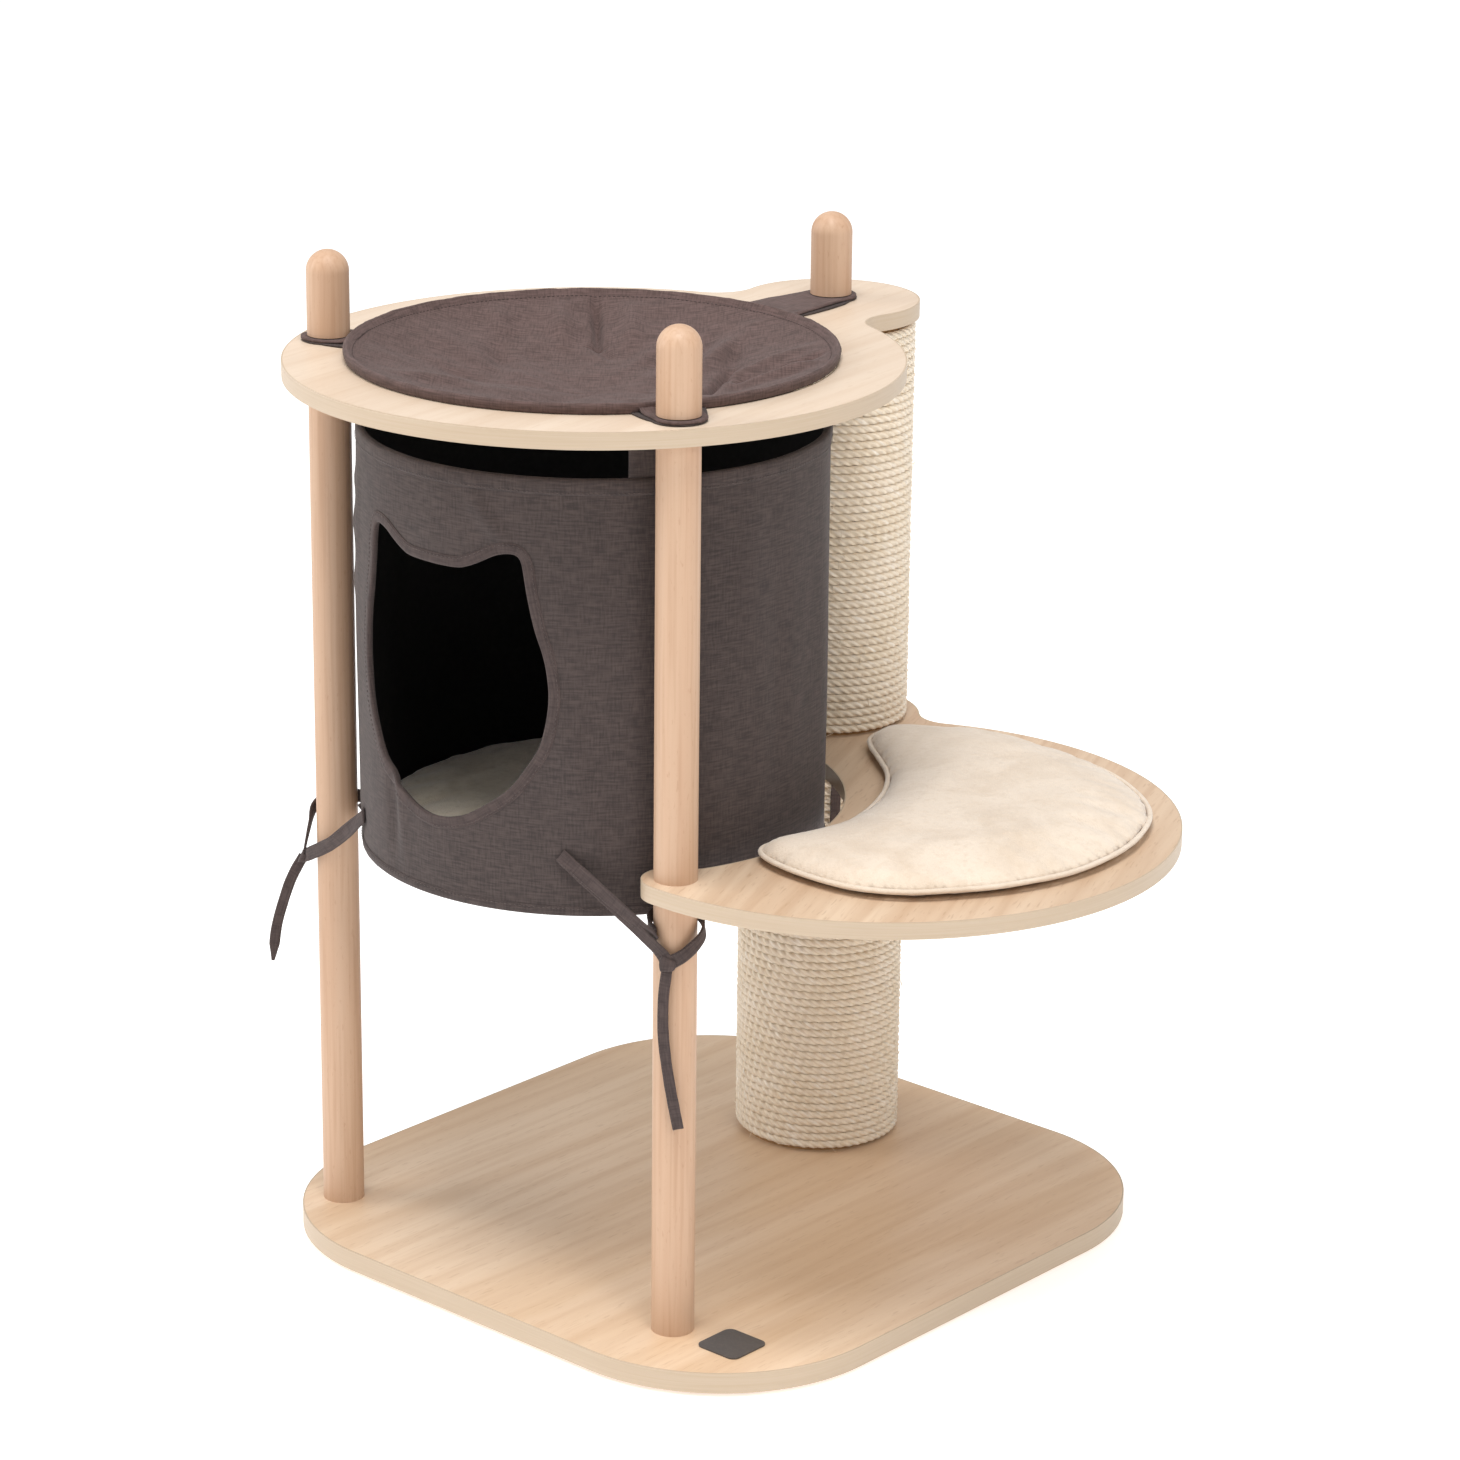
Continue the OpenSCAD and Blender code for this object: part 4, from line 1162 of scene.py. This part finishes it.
def tieSet(name, node, post, radius, sewn, sewnZ, knotAngle, knotReach, knotZ, front, back, tail, tailFaces,
           pointed=True):
    centre = post.to_2d()
    knot = Vector((*polar(knotAngle, knotReach), knotZ)) + centre.to_3d()
    start = denPoint(den["radius"] * math.radians(sewn - den["doorAngle"]), sewnZ, 1.4 * mm)
    away = Vector((start.x - den["centre"][0], start.y - den["centre"][1], 0)).normalized()
    pieces, seams = [], []
    for label, middle in (("near", front), ("far", back)):
        route = [start] + aroundPost(centre, radius, middle, knotZ) + [knot]
        looks = [away] + outFrom(route[1:-1], centre) + [Vector((knot.x - centre.x, knot.y - centre.y, 0))]
        piece, size, seam = tapeStrip(name + "_" + label, route, looks)
        pieces.append((piece, ties["width"], size))
        seams.append((seam, False))
    hang, size, seam = tapeStrip(name + "_tail", [knot] + tail, tailFaces, ties["rolled"], pointed)
    pieces.append((hang, ties["width"], size))
    seams.append((seam, False))
    out = Vector((knot.x - centre.x, knot.y - centre.y, 0))
    bundle = knotAt(name + "_knot", knot, out, (tail[0] - knot))
    for i, (piece, width, size) in enumerate(pieces):
        settle(piece, "frame", "den_fabric", *([node] if i == 0 else []))
    settle(bundle, "frame", "den_fabric")
    sewRows(name + "_seam", seams, pitch=2.6 * mm, stitch=1.8 * mm, width=0.45 * mm)


frontPost, leftPost, rearPost = (uprights[key] for key in ("front", "left", "rear"))
postRadius = 15 * mm
columnRadius = 62.5 * mm
tieSet("tie_front_tape", "tie_front", frontPost, postRadius, -54.6, 0.3600, -63, 19 * mm, 0.2955,
       [(-96, 5.4, 12.5)],
       [(-102, 6.2, 20), (-150, 3.6, 24), (160, 3.0, 26), (110, 3.0, 27), (60, 3.4, 25), (15, 6.0, 18.4),
        (-26, 5.6, 8)],
       [Vector((0.1424, -0.2148, 0.270)), Vector((0.1429, -0.2146, 0.241)), Vector((0.1473, -0.2130, 0.2086)),
        Vector((0.1516, -0.2090, 0.177))],
       [(0.5, -1, 0), (0.5, -1, 0.05), (0.55, -1, 0), (0.6, -0.9, 0), (0.7, -0.8, 0)], pointed=False)
tieSet("tie_left_tape", "tie_left", leftPost, postRadius, -125, 0.3425, -138, 25 * mm, 0.2846,
       [(-48, 23.0, 24.5), (-104, 6.5, 7.0)],
       [(45, 4.0, 44), (95, 3.0, 42), (150, 3.0, 40), (-165, 3.4, 36), (-146, 5.0, 25)],
       [Vector((-0.2190, -0.2160, 0.272)), Vector((-0.2229, -0.2200, 0.2582)), Vector((-0.2287, -0.2252, 0.2311)),
        Vector((-0.2313, -0.2275, 0.2038))],
       [(0.4, -1, 0), (0.6, -0.9, 0), (0.7, -0.9, 0), (0.75, -0.7, 0), (0.7, -0.7, 0)])
tieSet("tie_rear_tape", "tie_rear", rearPost, columnRadius, 62, 0.330, -40, 66 * mm, 0.322,
       [(-50, 2.6, 3)],
       [(-110, 2.0, 6), (-160, 1.6, 5), (150, 1.6, 4), (100, 1.6, 3), (50, 1.6, 2), (0, 2.0, 1)],
       [Vector((0.0203, 0.1060, 0.300)), Vector((0.0215, 0.1050, 0.262)), Vector((0.0210, 0.1055, 0.222))],
       [(1, -0.7, 0), (1, -0.7, 0), (1, -0.6, 0), (1, -0.7, 0)])
print("ties knotted")


# ---- cushions ----

cushion = {"step": 6 * mm, "soften": 20 * mm, "seam": 0.34, "pressure": 3.5, "cap": 4 * mm}


def padMesh(name, border, low, high, finish, soften, crown):
    # Two panels joined at mid height, rounded down to the seam
    verts, faces = cutFlat(border, None, cushion["step"])
    n = len(verts)
    middle = low + (high - low) * cushion["seam"]
    tops, bottoms = [], []
    for v, depth in zip(verts, distanceMany([tuple(v) for v in verts], border)):
        t = min(depth / soften, 1)
        rise = math.sqrt(max(0, 1 - (1 - t) ** 2.2))
        lump = noise.noise(Vector((v[0] * 14, v[1] * 14, 0.2))) * 0.9 * mm + \
            noise.noise(Vector((v[0] * 40, v[1] * 40, 1.2))) * 0.5 * mm
        top = middle + (high - middle) * (rise * (1 - crown) + crown * min(depth / (soften * 2.2), 1)) + lump * rise
        tops.append(Vector((v[0], v[1], top)))
        fall = min(depth / (soften * 0.45), 1)
        bottoms.append(Vector((v[0], v[1], middle - (middle - low) * math.sqrt(max(0, 1 - (1 - fall) ** 2)))))
    edge = {i for pair in openEdges(faces) for i in pair}
    below = [i if i in edge else n + i for i in range(n)]
    allFaces = [tuple(f) for f in faces] + [tuple(below[i] for i in reversed(f)) for f in faces]
    piece = buildMesh(name, tops + bottoms, allFaces, finish)
    work = bmesh.new()
    work.from_mesh(piece.data)
    bmesh.ops.delete(work, geom=[v for v in work.verts if not v.link_faces], context="VERTS")
    work.to_mesh(piece.data)
    work.free()
    return piece


def inflate(piece, low, seamHeight, cap):
    # A short cloth run under air pressure plumps the pad; the seam is pinned and no point moves further than cap
    rest = [v.co.copy() for v in piece.data.vertices]
    cloth = piece.modifiers.new("air", "CLOTH")
    settings = cloth.settings
    for key, value in {"quality": 4, "mass": 0.15, "tension_stiffness": 12, "compression_stiffness": 12,
                       "shear_stiffness": 6, "bending_stiffness": 0.4, "use_pressure": True,
                       "uniform_pressure_force": cushion["pressure"]}.items():
        setattr(settings, key, value)
    settings.effector_weights.gravity = 0
    held = piece.vertex_groups.new(name="seam")
    held.add([v.index for v in piece.data.vertices if abs(v.co.z - seamHeight) < 0.05 * mm], 1.0, "REPLACE")
    settings.vertex_group_mass = "seam"
    for number in range(1, 21):
        scene.frame_set(number)
    depsgraph = bpy.context.evaluated_depsgraph_get()
    puffed = [v.co.copy() for v in piece.evaluated_get(depsgraph).data.vertices]
    piece.modifiers.remove(cloth)
    piece.vertex_groups.remove(held)
    scene.frame_set(1)
    for v, a, b in zip(piece.data.vertices, rest, puffed):
        move = b - a
        if move.length > cap:
            move *= cap / move.length
        place = a + move
        place.z = max(place.z, low)
        v.co = place


def buildPad(name, node, border, low, high, finish, body, soften, crown):
    pad = padMesh(name, border, low, high, finish, soften, crown)
    inflate(pad, low, low + (high - low) * cushion["seam"], cushion["cap"])
    smooth = pad.modifiers.new("smooth", "SUBSURF")
    smooth.levels = smooth.render_levels = 1
    pad = finishModifiers(pad)
    settle(pad, body, "plush", node)
    # Piping in the seam
    seam = smoothPath([(x, y, 0) for x, y in border], 4 * mm, closed=True)
    z = low + (high - low) * cushion["seam"]
    rings = []
    n = len(seam)
    for i, p in enumerate(seam):
        tangent = (seam[(i + 1) % n] - seam[i - 1]).normalized()
        out = Vector((tangent.y, -tangent.x, 0))
        size = 1.9 * mm * (1 + 0.1 * noise.noise(Vector((i * 0.4, 0, 0))))
        wave = 0.8 * mm * noise.noise(Vector((i * 0.08, 3, 0)))
        rings.append([p + out * (size * math.cos(a) + 0.3 * mm) + Vector((0, 0, z + wave + size * math.sin(a)))
                      for a in [2 * math.pi * k / 10 for k in range(10)]])
    piping = loft(name + "_piping", rings, finish, closedPath=True)
    settle(piping, body, "plush")


# Outline of the crescent pad in millimetres, anticlockwise from its front tip
crescentLine = [(149, -117), (154, -130), (172, -139), (203, -143), (245, -140), (277, -122), (300, -94), (319, -61),
                (331, -20), (332, 30), (320, 77), (297, 118), (258, 150), (210, 171), (160, 176), (113, 172), (80, 157),
                (57, 142), (47, 127), (50, 110), (61, 97), (80, 82), (105, 62), (122, 43), (138, 18), (152, -15),
                (160, -50), (159, -80), (152, -103)]


def buildCushions():
    low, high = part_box("shelf_cushion")
    border = [(p.x, p.y) for p in smoothPath([(x * mm, y * mm, 0) for x, y in crescentLine], 5 * mm, closed=True)]
    buildPad("crescent_pad", "shelf_cushion", border, low.z, high.z - 1 * mm, plush, "crescent_cushion",
             cushion["soften"], 0.25)
    low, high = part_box("den_cushion")
    centre, radius = (low + high) / 2, (high.x - low.x) / 2 - 2 * mm
    border = [(p.x, p.y) for p in circle(centre, radius, 120, 0)]
    buildPad("den_pad", "den_cushion", border, low.z, high.z - 2 * mm, plushDark, "round_cushion", 30 * mm, 0.3)


buildCushions()
print("cushions filled")


# ---- floor ----

halfSheet = 30
corners = [(x * halfSheet, y * halfSheet, 0) for x, y in ((-1, -1), (1, -1), (1, 1), (-1, 1))]
floorMesh = bpy.data.meshes.new("studio_floor")
floorMesh.from_pydata(corners, [], [(0, 1, 2, 3)])
floor = newPiece("studio_floor", floorMesh, paper)
